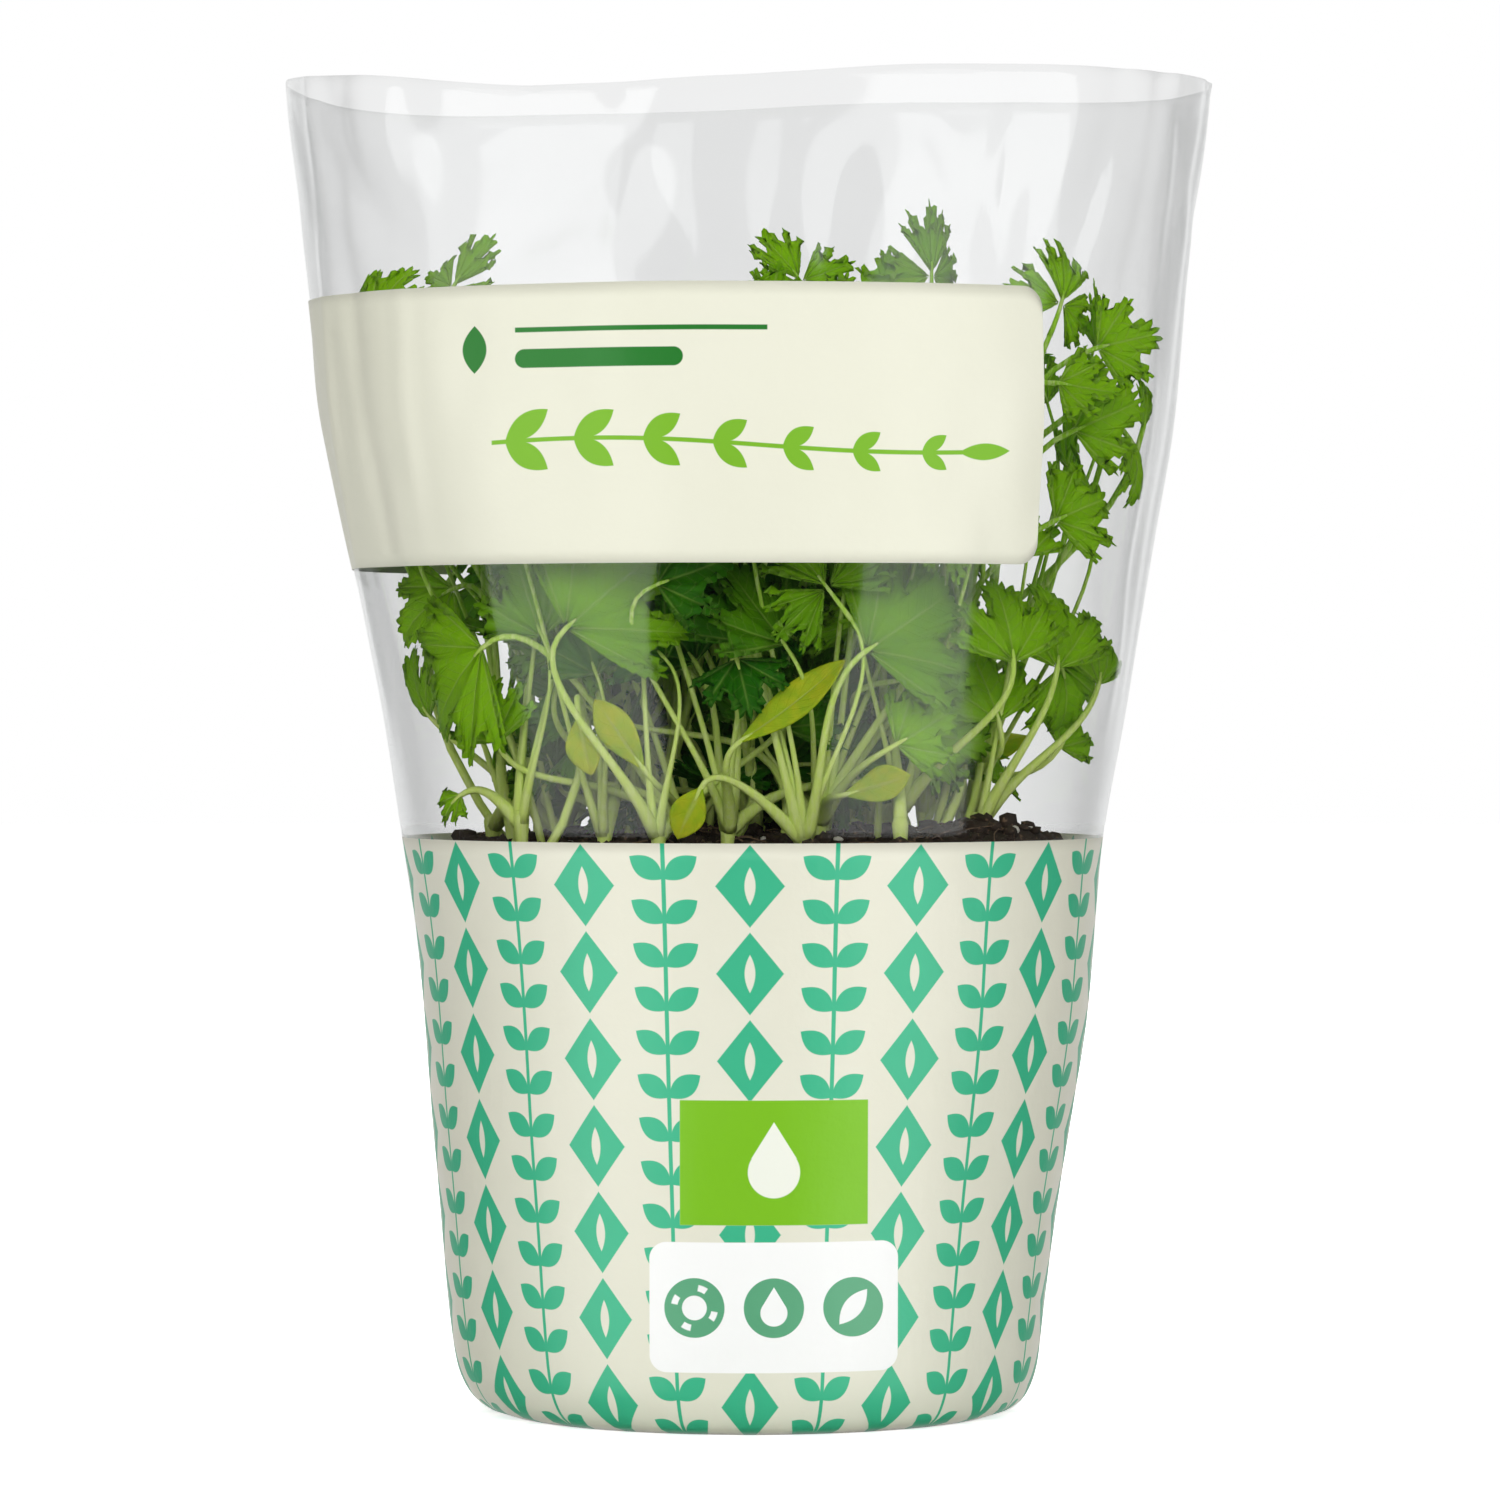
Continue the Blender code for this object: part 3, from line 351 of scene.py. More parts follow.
# The sleeve's shape: a film cone that hugs the pot, then widens to an oval mouth with a wavy rim.
# The herbs press against it, so it is worked out before them; its film is made further down.
SLEEVE_SIDES = (
    (0.0, 0.0465, 0.0465),
    (0.0012, 0.0500, 0.0500),
    (0.0042, 0.0530, 0.0524),
    (0.0090, 0.0550, 0.0539),
    (0.0200, 0.0566, 0.0552),
    (0.0380, 0.0582, 0.0576),
    (0.0560, 0.0598, 0.0605),
    (0.0740, 0.0611, 0.0633),
    (0.0910, 0.0628, 0.0648),
    (0.1075, 0.0653, 0.0664),
    (0.1350, 0.0697, 0.0713),
    (0.1650, 0.0763, 0.0763),
    (0.1870, 0.0807, 0.0797),
    (0.2100, 0.0831, 0.0815),
    (0.2250, 0.0841, 0.0832),
    (0.2400, 0.0861, 0.0856),
    (0.2520, 0.0874, 0.0873),
)
RIM_HEIGHTS = (
    (-90.0, 0.2489),
    (-54.0, 0.2468),
    (-26.0, 0.2430),
    (2.0, 0.2446),
    (22.0, 0.2467),
    (60.0, 0.2479),
    (90.0, 0.2484),
    (119.0, 0.2487),
    (160.0, 0.2512),
    (200.0, 0.2490),
    (232.0, 0.2470),
)
RIM_MEAN = 0.2480
RIM_WAVE_START = 0.2076
OVAL_START = 0.115
OVAL_DEPTH = 0.80
FLUTE_START = 0.120
FLUTE_DEPTH = 0.0006


def smooth_value(stations, at, column):
    """A smooth curve through the stations, whose first column is the place along it."""
    last = len(stations) - 1
    i = 0
    while i < last - 1 and stations[i + 1][0] <= at:
        i += 1

    def slope(k):
        before = stations[max(k - 1, 0)]
        after = stations[min(k + 1, last)]
        return (after[column] - before[column]) / (after[0] - before[0])

    start, end = stations[i], stations[i + 1]
    span = end[0] - start[0]
    t = (at - start[0]) / span
    first = (1 + 2 * t) * (1 - t) ** 2 * start[column] + t * (1 - t) ** 2 * span * slope(i)
    second = t * t * (3 - 2 * t) * end[column] + t * t * (t - 1) * span * slope(i + 1)
    return first + second


def ease(t):
    t = min(max(t, 0.0), 1.0)
    return t * t * (3 - 2 * t)


def rim_height(angle):
    """Height of the rim, with the stations repeated once to close the ring."""
    turn = (math.degrees(angle) + 90.0) % 360.0 - 90.0
    ring = tuple((a - 360.0, z) for a, z in RIM_HEIGHTS[-2:])
    ring += RIM_HEIGHTS + tuple((a + 360.0, z) for a, z in RIM_HEIGHTS[:2])
    return smooth_value(ring, turn, 1)


def sleeve_point(angle, z, out=0.0):
    """A point of the sleeve's outer surface, or this far outside it; 0 is the front."""
    left = smooth_value(SLEEVE_SIDES, z, 1)
    right = smooth_value(SLEEVE_SIDES, z, 2)
    half = left + (right - left) * (1 + math.sin(angle)) / 2 + out
    depth = 1 - (1 - OVAL_DEPTH) * ease((z - OVAL_START) / (RIM_MEAN - OVAL_START))
    flute = FLUTE_DEPTH * ease((z - FLUTE_START) / 0.06) * math.cos(angle) ** 2
    half += flute * (math.cos(7 * angle + 1.0) + 0.7 * math.cos(11 * angle + 2.0))
    return Vector((half * math.sin(angle), -half * depth * math.cos(angle), z))


# Coriander seedlings: thirty-odd young plants sown in a disc, each a short pale stem that splits
# at its crown into thin stalks. A stalk carries a toothed fan, three leaflets or a seed leaf.
# Where each leaf stands is worked out with the numbers and the random draws of the CAD plan.
ROOT_COUNT = 34
ROOT_DISC = 0.053
ROOT_DEPTH = 0.005
GOLDEN_ANGLE = math.radians(137.508)
STEM_RADIUS = 0.0011
STALK_RADIUS = 0.0011
STALK_TIP_RADIUS = 0.0006
STALK_POINTS = 5
SEED_STALK_POINTS = 4
LEAST_STALK_TURN = 0.35
MOST_TWIST = 0.93
STALK_UNDER_BLADE = 0.0008
LEAF_THICKNESS = 0.6 * MM
LEAF_CEILING = 0.2285
FILL_CEILING = 0.2105
LEAF_CLEARANCE = 0.35 * MM
SLEEVE_CLEARANCE = 1.6 * MM
LEAVES_PER_ROOT = 2
FILL_LEAVES = 30
SEED = 11
# Half of a leaflet's outline: place across the fan from its middle to its edge, and reach
LEAFLET_KEYS = (
    (0.0, 1.0),
    (0.09, 0.90),
    (0.21, 0.96),
    (0.34, 0.66),
    (0.50, 0.94),
    (0.63, 0.81),
    (0.78, 0.87),
    (1.0, 0.50),
)
LEAFLET_KEYS_PLAIN = ((0.0, 1.0), (0.22, 0.93), (0.34, 0.68), (0.54, 0.95), (0.80, 0.86), (1.0, 0.48))
SEED_LEAF_KEYS = ((0.0, 0.12), (0.35, 0.75), (0.65, 1.0), (0.88, 0.62))
SEED_LEAF_HALF_WIDTH = 0.0031
LEAFLET_MIDDLE = (-1.0, -0.34, 0.34, 1.0)
LEAFLET_MIDDLE_REACH = 0.52
LEAF_BASE_HALF_WIDTH = 0.0008

# Leaves that show from the front: kind, place of the blade's base in millimetres, the turn of
# the blade from straight up (clockwise from the front), its tilt towards the front, its length
PLACED_LEAVES = (
    ("simple", -48.5, -40.0, 142.5, -132, -25, 24),
    ("simple", -33.0, -58.0, 146.0, 48, 0, 24),
    ("simple", 21.0, -56.0, 142.0, 56, 0, 23),
    ("simple", 0.5, -50.0, 143.5, -12, 5, 18),
    ("simple", 48.0, -40.0, 140.0, -3, 0, 17),
    ("simple", 56.5, -28.0, 139.0, 8, 0, 19),
    ("simple", 64.5, -8.0, 136.5, 14, 0, 16),
    ("simple", 59.0, -12.0, 138.5, 160, 0, 16),
    ("simple", -56.5, -24.0, 152.0, -115, 0, 17),
    ("simple", -3.0, -50.0, 140.5, 165, 35, 13),
    ("simple", 60.0, -20.0, 183.0, 68, 0, 15),
    ("simple", 56.5, -30.0, 165.5, 65, 0, 14),
    ("simple", 26.5, -44.0, 125.0, 60, 10, 13),
    ("simple", -49.0, -36.0, 128.0, -20, 0, 15),
    ("simple", -57.0, -22.0, 114.5, -122, 0, 8),
    ("simple", 28.0, -46.0, 151.0, -70, 0, 14),
    ("compound", 12.0, 4.0, 207.0, -22, 0, 19),
    ("compound", 34.0, -12.0, 206.0, -4, 0, 20),
    ("compound", -58.0, -22.0, 205.0, 35, 0, 18),
    ("simple", -75.0, 0.0, 203.5, 8, 0, 12),
    ("compound", 55.5, -18.0, 200.5, 24, 0, 21),
    ("simple", 57.0, -24.0, 191.5, 100, 0, 12),
    ("simple", 65.0, -6.0, 199.0, 75, 0, 13),
    ("simple", 68.5, -4.0, 186.5, 10, 0, 15),
    ("simple", 74.5, 3.0, 184.0, 14, 0, 12),
    ("simple", 69.5, -6.0, 182.0, 150, 0, 15),
    ("compound", -1.0, -36.0, 142.0, 12, 0, 23),
    ("simple", -47.0, -30.0, 161.0, 178, 0, 15),
    ("simple", 26.0, -36.0, 136.5, 85, 0, 17),
    ("simple", 46.0, -24.0, 129.0, -15, 0, 17),
    ("simple", 35.0, -26.0, 120.0, 20, 0, 15),
    ("simple", -10.0, -30.0, 140.0, -35, 0, 17),
    ("compound", -36.0, -34.0, 136.0, 20, 0, 22),
    ("simple", -60.0, 6.0, 130.0, -40, 0, 15),
    ("simple", 6.0, -34.0, 128.0, 40, 15, 15),
    ("simple", 62.0, -2.0, 122.0, 30, 0, 13),
    ("simple", -10.0, 34.0, 186.0, -20, 0, 20),
    ("simple", 14.0, 38.0, 184.0, 35, 0, 19),
    ("simple", -20.0, 40.0, 171.0, -15, 0, 18),
    ("simple", -34.0, 30.0, 180.0, -50, 0, 19),
    ("simple", -4.0, 50.0, 162.0, 15, 0, 20),
    ("simple", 36.0, 34.0, 176.0, 60, 0, 18),
    ("seed", -19.5, -46.0, 121.0, -35, 0, 15),
    ("seed", -2.0, -50.0, 125.5, 57, 0, 25),
    ("seed", -9.0, -50.0, 117.0, -155, 10, 10),
    ("seed", -31.0, -48.0, 130.0, 172, 0, 11),
    ("seed", 16.0, -40.0, 116.0, 75, 0, 14),
    ("seed", 40.0, 20.0, 120.0, 60, 0, 16),
    ("seed", -30.0, 30.0, 119.0, -50, 0, 16),
    ("seed", 5.0, 45.0, 121.0, 30, 0, 15),
)

Leaf = namedtuple("Leaf", "kind base along face length bend ripple")
Seedling = namedtuple("Seedling", "root crown leaves")
Placed = namedtuple("Placed", "root part tree low high")


def strip(first, second, places_first, places_second):
    """Triangles between two rows of points, each with its place from -1 to 1 across the fan."""
    faces = []
    i, j = 0, 0
    while i < len(first) - 1 or j < len(second) - 1:
        next_i = places_first[i + 1] if i < len(first) - 1 else math.inf
        next_j = places_second[j + 1] if j < len(second) - 1 else math.inf
        if next_j <= next_i:
            faces.append((first[i], second[j], second[j + 1]))
            j += 1
        else:
            faces.append((first[i], second[j], first[i + 1]))
            i += 1
    return faces


def leaflet_height(reach, place, leaf, heading):
    """How far a leaflet stands off the leaf's plane, as a share of its length."""
    wave = np.cos(1.5 * math.pi * place + 2.0 * leaf.ripple + heading)
    lift = (0.12 * abs(heading) + 0.15 * reach) * math.sin(1.7 * leaf.ripple)
    return reach * lift + 0.07 * reach ** 2 * wave


def add_leaflet(points, faces, edge, start, heading, length, spread, leaf):
    """Adds a fan of two rows beyond the edge, a pair of points that are already there."""
    keys = LEAFLET_KEYS if leaf.kind == "simple" else LEAFLET_KEYS_PLAIN
    spread = math.radians(spread)
    mirrored = [(-s, r) for s, r in reversed(keys[1:])] + list(keys)

    def ring(places):
        made = []
        for place, reach in places:
            angle = heading + spread * place
            at = start + Vector((math.cos(angle), math.sin(angle), 0)) * length * reach
            at.z = length * leaflet_height(reach, place, leaf, heading)
            made.append(len(points))
            points.append(at)
        return made

    across = LEAFLET_MIDDLE
    inner = ring([(s, LEAFLET_MIDDLE_REACH * (0.62 if abs(s) == 1.0 else 0.9)) for s in across])
    outer = ring(mirrored)
    faces += strip(edge, inner, (-1.0, 1.0), across)
    faces += strip(inner, outer, across, [s for s, _ in mirrored])


def add_seed_leaf(points, faces, leaf):
    """A long smooth blade in two rows of triangles either side of its rib."""
    for along, width in SEED_LEAF_KEYS:
        for side in (-1, 0, 1):
            half = SEED_LEAF_HALF_WIDTH * width
            points.append(Vector((along * leaf.length, side * half, 0.22 * half * abs(side))))
    tip = len(points)
    points.append(Vector((leaf.length, 0, 0)))
    for k in range(len(SEED_LEAF_KEYS) - 1):
        a = 3 * k
        faces += [(a, a + 3, a + 1), (a + 1, a + 3, a + 4), (a + 1, a + 4, a + 2), (a + 2, a + 4, a + 5)]
    faces += [(tip - 3, tip, tip - 2), (tip - 2, tip, tip - 1)]


def in_world(leaf, x, y, z):
    """Points of the leaf's own plane, along its rib, across it and off it, bent and put in place."""
    across = leaf.face.cross(leaf.along).normalized()
    normal = leaf.along.cross(across)
    curve = leaf.bend / leaf.length
    run = np.sin(curve * x) / curve + z * np.sin(curve * x)
    rise = -(1 - np.cos(curve * x)) / curve + z * np.cos(curve * x)
    placed = np.array(leaf.base) + run[..., None] * np.array(leaf.along)
    return placed + y[..., None] * np.array(across) + rise[..., None] * np.array(normal)


def leaf_sheet(leaf):
    """The leaf's middle surface, as points in the world and triangles."""
    half = LEAF_BASE_HALF_WIDTH
    points, faces = [], []
    if leaf.kind == "seed":
        add_seed_leaf(points, faces, leaf)
    elif leaf.kind == "simple":
        points += [Vector((0, -half, 0)), Vector((0, half, 0))]
        add_leaflet(points, faces, (0, 1), Vector(), 0.0, leaf.length, 80, leaf)
    else:
        hub = 0.34 * leaf.length
        points += [Vector((u, v, 0)) for u in (0.0, hub - 2 * half, hub) for v in (-half, half)]
        for k in (0, 2):
            faces += [(k, k + 2, k + 1), (k + 1, k + 2, k + 3)]
        centre = Vector((hub - half, 0, 0))
        side = Vector((0, half, 0))
        turned = math.radians(94)
        add_leaflet(points, faces, (2, 4), centre - side, -turned, 0.58 * leaf.length, 44, leaf)
        add_leaflet(points, faces, (5, 3), centre + side, turned, 0.58 * leaf.length, 44, leaf)
        add_leaflet(points, faces, (4, 5), Vector((hub, 0, 0)), 0.0, 0.66 * leaf.length, 44, leaf)
    return [Vector(p) for p in in_world(leaf, *np.array(points).T)], faces


def sheet_normals(points, faces):
    normals = [Vector() for _ in points]
    for a, b, c in faces:
        turned = (points[b] - points[a]).cross(points[c] - points[a])
        for corner in (a, b, c):
            normals[corner] += turned
    return [n.normalized() for n in normals]


def sheet_shell(points, faces, half):
    """The sheet's two sides and its rim at this half thickness, for the test of what it meets."""
    normals = sheet_normals(points, faces)
    count = len(points)
    both = [p + n * half for p, n in zip(points, normals)]
    both += [p - n * half for p, n in zip(points, normals)]
    shell = list(faces) + [(c + count, b + count, a + count) for a, b, c in faces]
    used = {}
    for a, b, c in faces:
        for edge in ((a, b), (b, c), (c, a)):
            used[tuple(sorted(edge))] = used.get(tuple(sorted(edge)), 0) + 1
    for (a, b), times in used.items():
        if times == 1:
            shell.append((a, b, b + count, a + count))
    return both, shell


def bezier(start, first, second, end, count):
    made = []
    for k in range(count):
        t = k / (count - 1)
        s = 1 - t
        made.append(start * s ** 3 + first * 3 * s * s * t + second * 3 * s * t * t + end * t ** 3)
    return made


def arch(crown, leaf, count):
    """The stalk's middle line, from inside the crown up and over to the blade."""
    reach = (leaf.base - crown).length
    sideways = Vector((leaf.base.x - crown.x, leaf.base.y - crown.y, 0))
    start = crown + sideways.normalized() * 0.0006 - Vector((0, 0, 0.0012))
    lift = sideways * 0.35 + Vector((0, 0, 0.35 * reach))
    return bezier(start, start + lift, leaf.base - leaf.along * 0.30 * reach, leaf.base, count)


def turns_gently(line):
    """Whether no bend of the line is so sharp that a tube on it would cross itself."""
    steps = [(b - a).normalized() for a, b in zip(line, line[1:])]
    return all(before.dot(after) > LEAST_STALK_TURN for before, after in zip(steps, steps[1:]))


def stalk_radii(count):
    return [STALK_RADIUS + (STALK_TIP_RADIUS - STALK_RADIUS) * k / (count - 1) for k in range(count)]


def tube_shell(line, radii, extra):
    """A plain tube round the line, for the test of what it meets."""
    points, faces = [], []
    sides = 6
    for k, (p, r) in enumerate(zip(line, radii)):
        ahead = (line[min(k + 1, len(line) - 1)] - line[max(k - 1, 0)]).normalized()
        side = ahead.orthogonal().normalized()
        other = ahead.cross(side)
        for turn in range(sides):
            angle = 2 * math.pi / sides * turn
            points.append(p + (side * math.cos(angle) + other * math.sin(angle)) * (r + extra))
    for k in range(len(line) - 1):
        for turn in range(sides):
            a, b = sides * k + turn, sides * k + (turn + 1) % sides
            faces.append((a, b, b + sides, a + sides))
    return points, faces


def inside_sleeve(point, margin):
    z = min(max(point.z, 0.0), RIM_MEAN)
    depth = 1 - (1 - OVAL_DEPTH) * ease((z - OVAL_START) / (RIM_MEAN - OVAL_START))
    wall = sleeve_point(math.atan2(point.x, -point.y / depth), z).xy.length
    return point.xy.length < wall - margin


def over_soil(point, margin):
    edge = 0.0015 if point.xy.length > 0.055 else 0.0
    return point.z > soil_height(point.x, point.y) + margin + edge


def boxed(root, part, points, faces):
    low = Vector([min(p[i] for p in points) for i in range(3)])
    high = Vector([max(p[i] for p in points) for i in range(3)])
    return Placed(root, part, BVHTree.FromPolygons(points, faces), low, high)


def meets(new, placed):
    for old in placed:
        if old.root == new.root and (old.part == "stem" or old.part == new.part == "stalk"):
            continue
        if any(new.low[i] > old.high[i] or old.low[i] > new.high[i] for i in range(3)):
            continue
        if new.tree.overlap(old.tree):
            return True
    return False


def root_places():
    places = []
    for k in range(ROOT_COUNT):
        radius = ROOT_DISC * math.sqrt((k + 0.6) / ROOT_COUNT)
        angle = k * GOLDEN_ANGLE
        places.append((radius * math.cos(angle), radius * math.sin(angle)))
    return places


def leaf_from_row(row, chance, effort):
    """A listed leaf, shifted and turned more the harder it has been to fit."""
    kind, x, y, z, turn, tilt, length = row
    shift = Vector([chance.uniform(-1, 1) * 0.006 * effort for _ in range(3)])
    base = Vector((x, y, z)) * MM + shift
    turn = math.radians(turn + chance.uniform(-30, 30) * effort)
    tilt = math.radians(tilt + chance.uniform(-35, 35) * effort)
    along = Vector((math.sin(turn) * math.cos(tilt), -math.sin(tilt), math.cos(turn) * math.cos(tilt)))
    outward = Vector((base.x * 0.7, base.y - 0.02, 0.012)).normalized()
    face = outward + Vector([chance.uniform(-0.3, 0.3) for _ in range(3)])
    size = length * MM * (1 - 0.15 * effort)
    bend = chance.uniform(-0.5, 0.9) or 0.1
    return Leaf(kind, base, along, face, size, bend, chance.uniform(0.5, 3.0))


def filling_leaf(k, chance):
    """A leaf by rule: turned by the golden angle, filling the sleeve from the top down."""
    share = (k + chance.random()) / FILL_LEAVES
    z = 0.198 - 0.078 * share
    angle = k * GOLDEN_ANGLE + chance.uniform(-0.5, 0.5)
    wall = sleeve_point(angle, z)
    reach = chance.uniform(0.30, 0.82)
    base = Vector((wall.x * reach, wall.y * reach, z))
    outward = Vector((wall.x, wall.y, 0)).normalized()
    sideways = Vector((-outward.y, outward.x, 0)) * chance.uniform(-0.8, 0.8)
    upward = Vector((0, 0, chance.uniform(-0.3, 1.2)))
    along = (outward * chance.uniform(0.1, 0.9) + sideways + upward).normalized()
    face = outward * chance.uniform(0.2, 1.0) + Vector((0, 0, chance.uniform(0.2, 1.1)))
    kind = "simple" if chance.random() < 0.6 else "compound"
    length = chance.uniform(0.017, 0.024) if kind == "simple" else chance.uniform(0.023, 0.031)
    bend = chance.uniform(-0.4, 1.0) or 0.1
    return Leaf(kind, base, along, face, length, bend, chance.uniform(0.5, 3.0))


def free_sheet(leaf, over_peat):
    """The leaf's middle surface where it faces its side, inside the film and over the peat, or None."""
    if abs(leaf.face.normalized().dot(leaf.along)) > MOST_TWIST:
        return None
    points, faces = leaf_sheet(leaf)
    clear = all(inside_sleeve(p, SLEEVE_CLEARANCE) and over_soil(p, over_peat) for p in points)
    return (points, faces) if clear else None


def fits(root, crown, leaf, placed, ceiling):
    """The stalk's and the blade's shells if the leaf meets nothing, or None."""
    sheet = free_sheet(leaf, 0.0016)
    if not sheet or any(p.z > ceiling for p in sheet[0]):
        return None
    line = arch(crown, leaf, STALK_POINTS if leaf.kind != "seed" else SEED_STALK_POINTS)
    line.append(leaf.base + leaf.along * STALK_UNDER_BLADE)
    if not turns_gently([crown - Vector((0, 0, 0.004)), crown, *line[1:]]):
        return None
    if not all(inside_sleeve(p, SLEEVE_CLEARANCE + STALK_RADIUS) for p in line):
        return None
    if not all(over_soil(p, 0.0025) for p in line[1:]):
        return None
    blade = boxed(root, "blade", *sheet_shell(*sheet, LEAF_THICKNESS / 2 + LEAF_CLEARANCE))
    if meets(blade, placed):
        return None
    stalk = boxed(root, "stalk", *tube_shell(line, stalk_radii(len(line)), LEAF_CLEARANCE))
    if meets(stalk, placed):
        return None
    blade = boxed(root, "blade", *sheet_shell(*sheet, LEAF_THICKNESS / 2))
    stalk = boxed(root, "stalk", *tube_shell(line, stalk_radii(len(line)), 0.0))
    return blade, stalk


def crown_of(root, chance):
    x, y = root
    height = chance.uniform(0.004, 0.009)
    lean = Vector((chance.uniform(-0.001, 0.001), chance.uniform(-0.001, 0.001), height))
    return Vector((x, y, soil_height(x, y))) + lean


def plan_seedlings():
    """Gives every leaf a root, a stalk and a place where it meets nothing."""
    chance = random.Random(SEED)
    roots = root_places()
    crowns = [crown_of(root, chance) for root in roots]
    seedlings = [Seedling(root, crown, []) for root, crown in zip(roots, crowns)]
    placed = []
    for k, (root, crown) in enumerate(zip(roots, crowns)):
        foot = Vector((*root, soil_height(*root) - ROOT_DEPTH))
        line = [foot, foot + Vector((0, 0, ROOT_DEPTH + 0.001)), crown]
        placed.append(boxed(k, "stem", *tube_shell(line, [STEM_RADIUS] * 3, 0.0)))
    requests = [(row, None) for row in PLACED_LEAVES] + [(None, k) for k in range(FILL_LEAVES)]
    for row, number in requests:
        for attempt in range(90):
            leaf = leaf_from_row(row, chance, min(attempt / 60, 1.0)) if row else filling_leaf(number, chance)
            under = leaf.base * 0.66
            near = sorted(range(ROOT_COUNT), key=lambda k: (crowns[k].xy - under.xy).length)
            most = LEAVES_PER_ROOT + (leaf.kind == "seed")
            free = [k for k in near if len(seedlings[k].leaves) < most]
            root = free[attempt % min(5, len(free))]
            found = fits(root, crowns[root], leaf, placed, LEAF_CEILING if row else FILL_CEILING)
            if found:
                placed += found
                seedlings[root].leaves.append(leaf)
                break
    return seedlings, placed


TOOTH_PITCH = 0.0022
TOOTH_DEPTH = 0.0018
BLADE_THICKNESS = 0.26 * MM
# Rows of points from a leaflet's base to its edge, by how many points make one tooth
BLADE_ROWS = {3: (0.06, 0.42, 0.78, 1.0), 4: (0.06, 0.36, 0.64, 0.84, 1.0)}
FINE_LEAFLET = (
    (0.0, 1.0),
    (0.11, 0.97),
    (0.22, 0.86),
    (0.32, 0.63),
    (0.42, 0.84),
    (0.53, 0.94),
    (0.63, 0.83),
    (0.70, 0.67),
    (0.80, 0.84),
    (0.90, 0.79),
    (0.97, 0.50),
    (1.0, 0.10),
)
EDGE_PLACE = np.linspace(-1.0, 1.0, 201)
EDGE_REACH = np.array([smooth_value(FINE_LEAFLET, abs(p), 1) for p in EDGE_PLACE])
# What a point belongs to, for the material; a stem or stalk is 0
BLADE_MARK, SEED_MARK = 0.5, 1.0


def sheet_faces(rows, columns):
    """Quads of a thin closed sheet: its two grids of points, the upper first, and the edge round them."""
    row, k = np.meshgrid(np.arange(rows - 1), np.arange(columns - 1), indexing="ij")
    a = (row * columns + k).ravel()
    upper = np.stack([a, a + columns, a + columns + 1, a + 1], -1)
    count = rows * columns
    edge = [r * columns for r in range(rows)]
    edge += [(rows - 1) * columns + k for k in range(1, columns)]
    edge += [r * columns + columns - 1 for r in range(rows - 2, -1, -1)]
    edge += list(range(columns - 2, 0, -1))
    edge = np.array(edge)
    following = np.roll(edge, -1)
    rim = np.stack([edge, edge + count, following + count, following], -1)
    return np.concatenate([upper, upper[:, ::-1] + count, rim])


def sheet_as_shell(grid, place, reach, size, painted_light, kind):
    """A grid of points, as a thin closed leaf with an upper and a lower side and their marks."""
    outward = np.gradient(grid, axis=0)
    sideways = np.gradient(grid, axis=1)
    normal = np.cross(outward, sideways)
    normal /= np.maximum(np.linalg.norm(normal, axis=2), 1e-12)[..., None]
    half = BLADE_THICKNESS / 2 * (1.25 - 0.7 * reach)[..., None]
    points = np.concatenate([(grid + normal * half).reshape(-1, 3), (grid - normal * half).reshape(-1, 3)])
    at = np.stack([place, reach, np.full_like(reach, size / MM)], -1).reshape(-1, 3)
    look = np.empty((len(points), 3))
    look[:, 0] = painted_light
    look[:len(at), 1], look[len(at):, 1] = 0.0, 1.0
    look[:, 2] = kind
    return points, sheet_faces(*grid.shape[:2]), np.concatenate([np.concatenate([at, at]), look], axis=1)


def toothed_edge(spread, length, steps, draw):
    """A leaflet's edge at even steps: its place in the fan, where it lies, and the teeth's pull inwards."""
    x, y = EDGE_REACH * np.cos(spread * EDGE_PLACE), EDGE_REACH * np.sin(spread * EDGE_PLACE)
    run = np.concatenate([[0.0], np.cumsum(np.hypot(np.diff(x), np.diff(y)))])
    teeth = max(9, round(run[-1] * length / TOOTH_PITCH))
    count = np.linspace(0.0, teeth, steps * teeth + 1)
    at = count / teeth * run[-1]
    place, x, y = (np.interp(at, run, values) for values in (EDGE_PLACE, x, y))
    uneven = np.array([draw.uniform(0.6, 1.3) for _ in range(teeth + 1)])
    dip = np.abs((count % 1.0) * 2 - 1) ** 1.5 * uneven[np.minimum(count.astype(int), teeth)]
    dip *= TOOTH_DEPTH / length * np.clip(2.2 * np.hypot(x, y) - 0.3, 0, 1)
    ahead_x, ahead_y = np.gradient(x), np.gradient(y)
    step = np.maximum(np.hypot(ahead_x, ahead_y), 1e-9)
    return place, x, y, -ahead_y / step * dip, ahead_x / step * dip


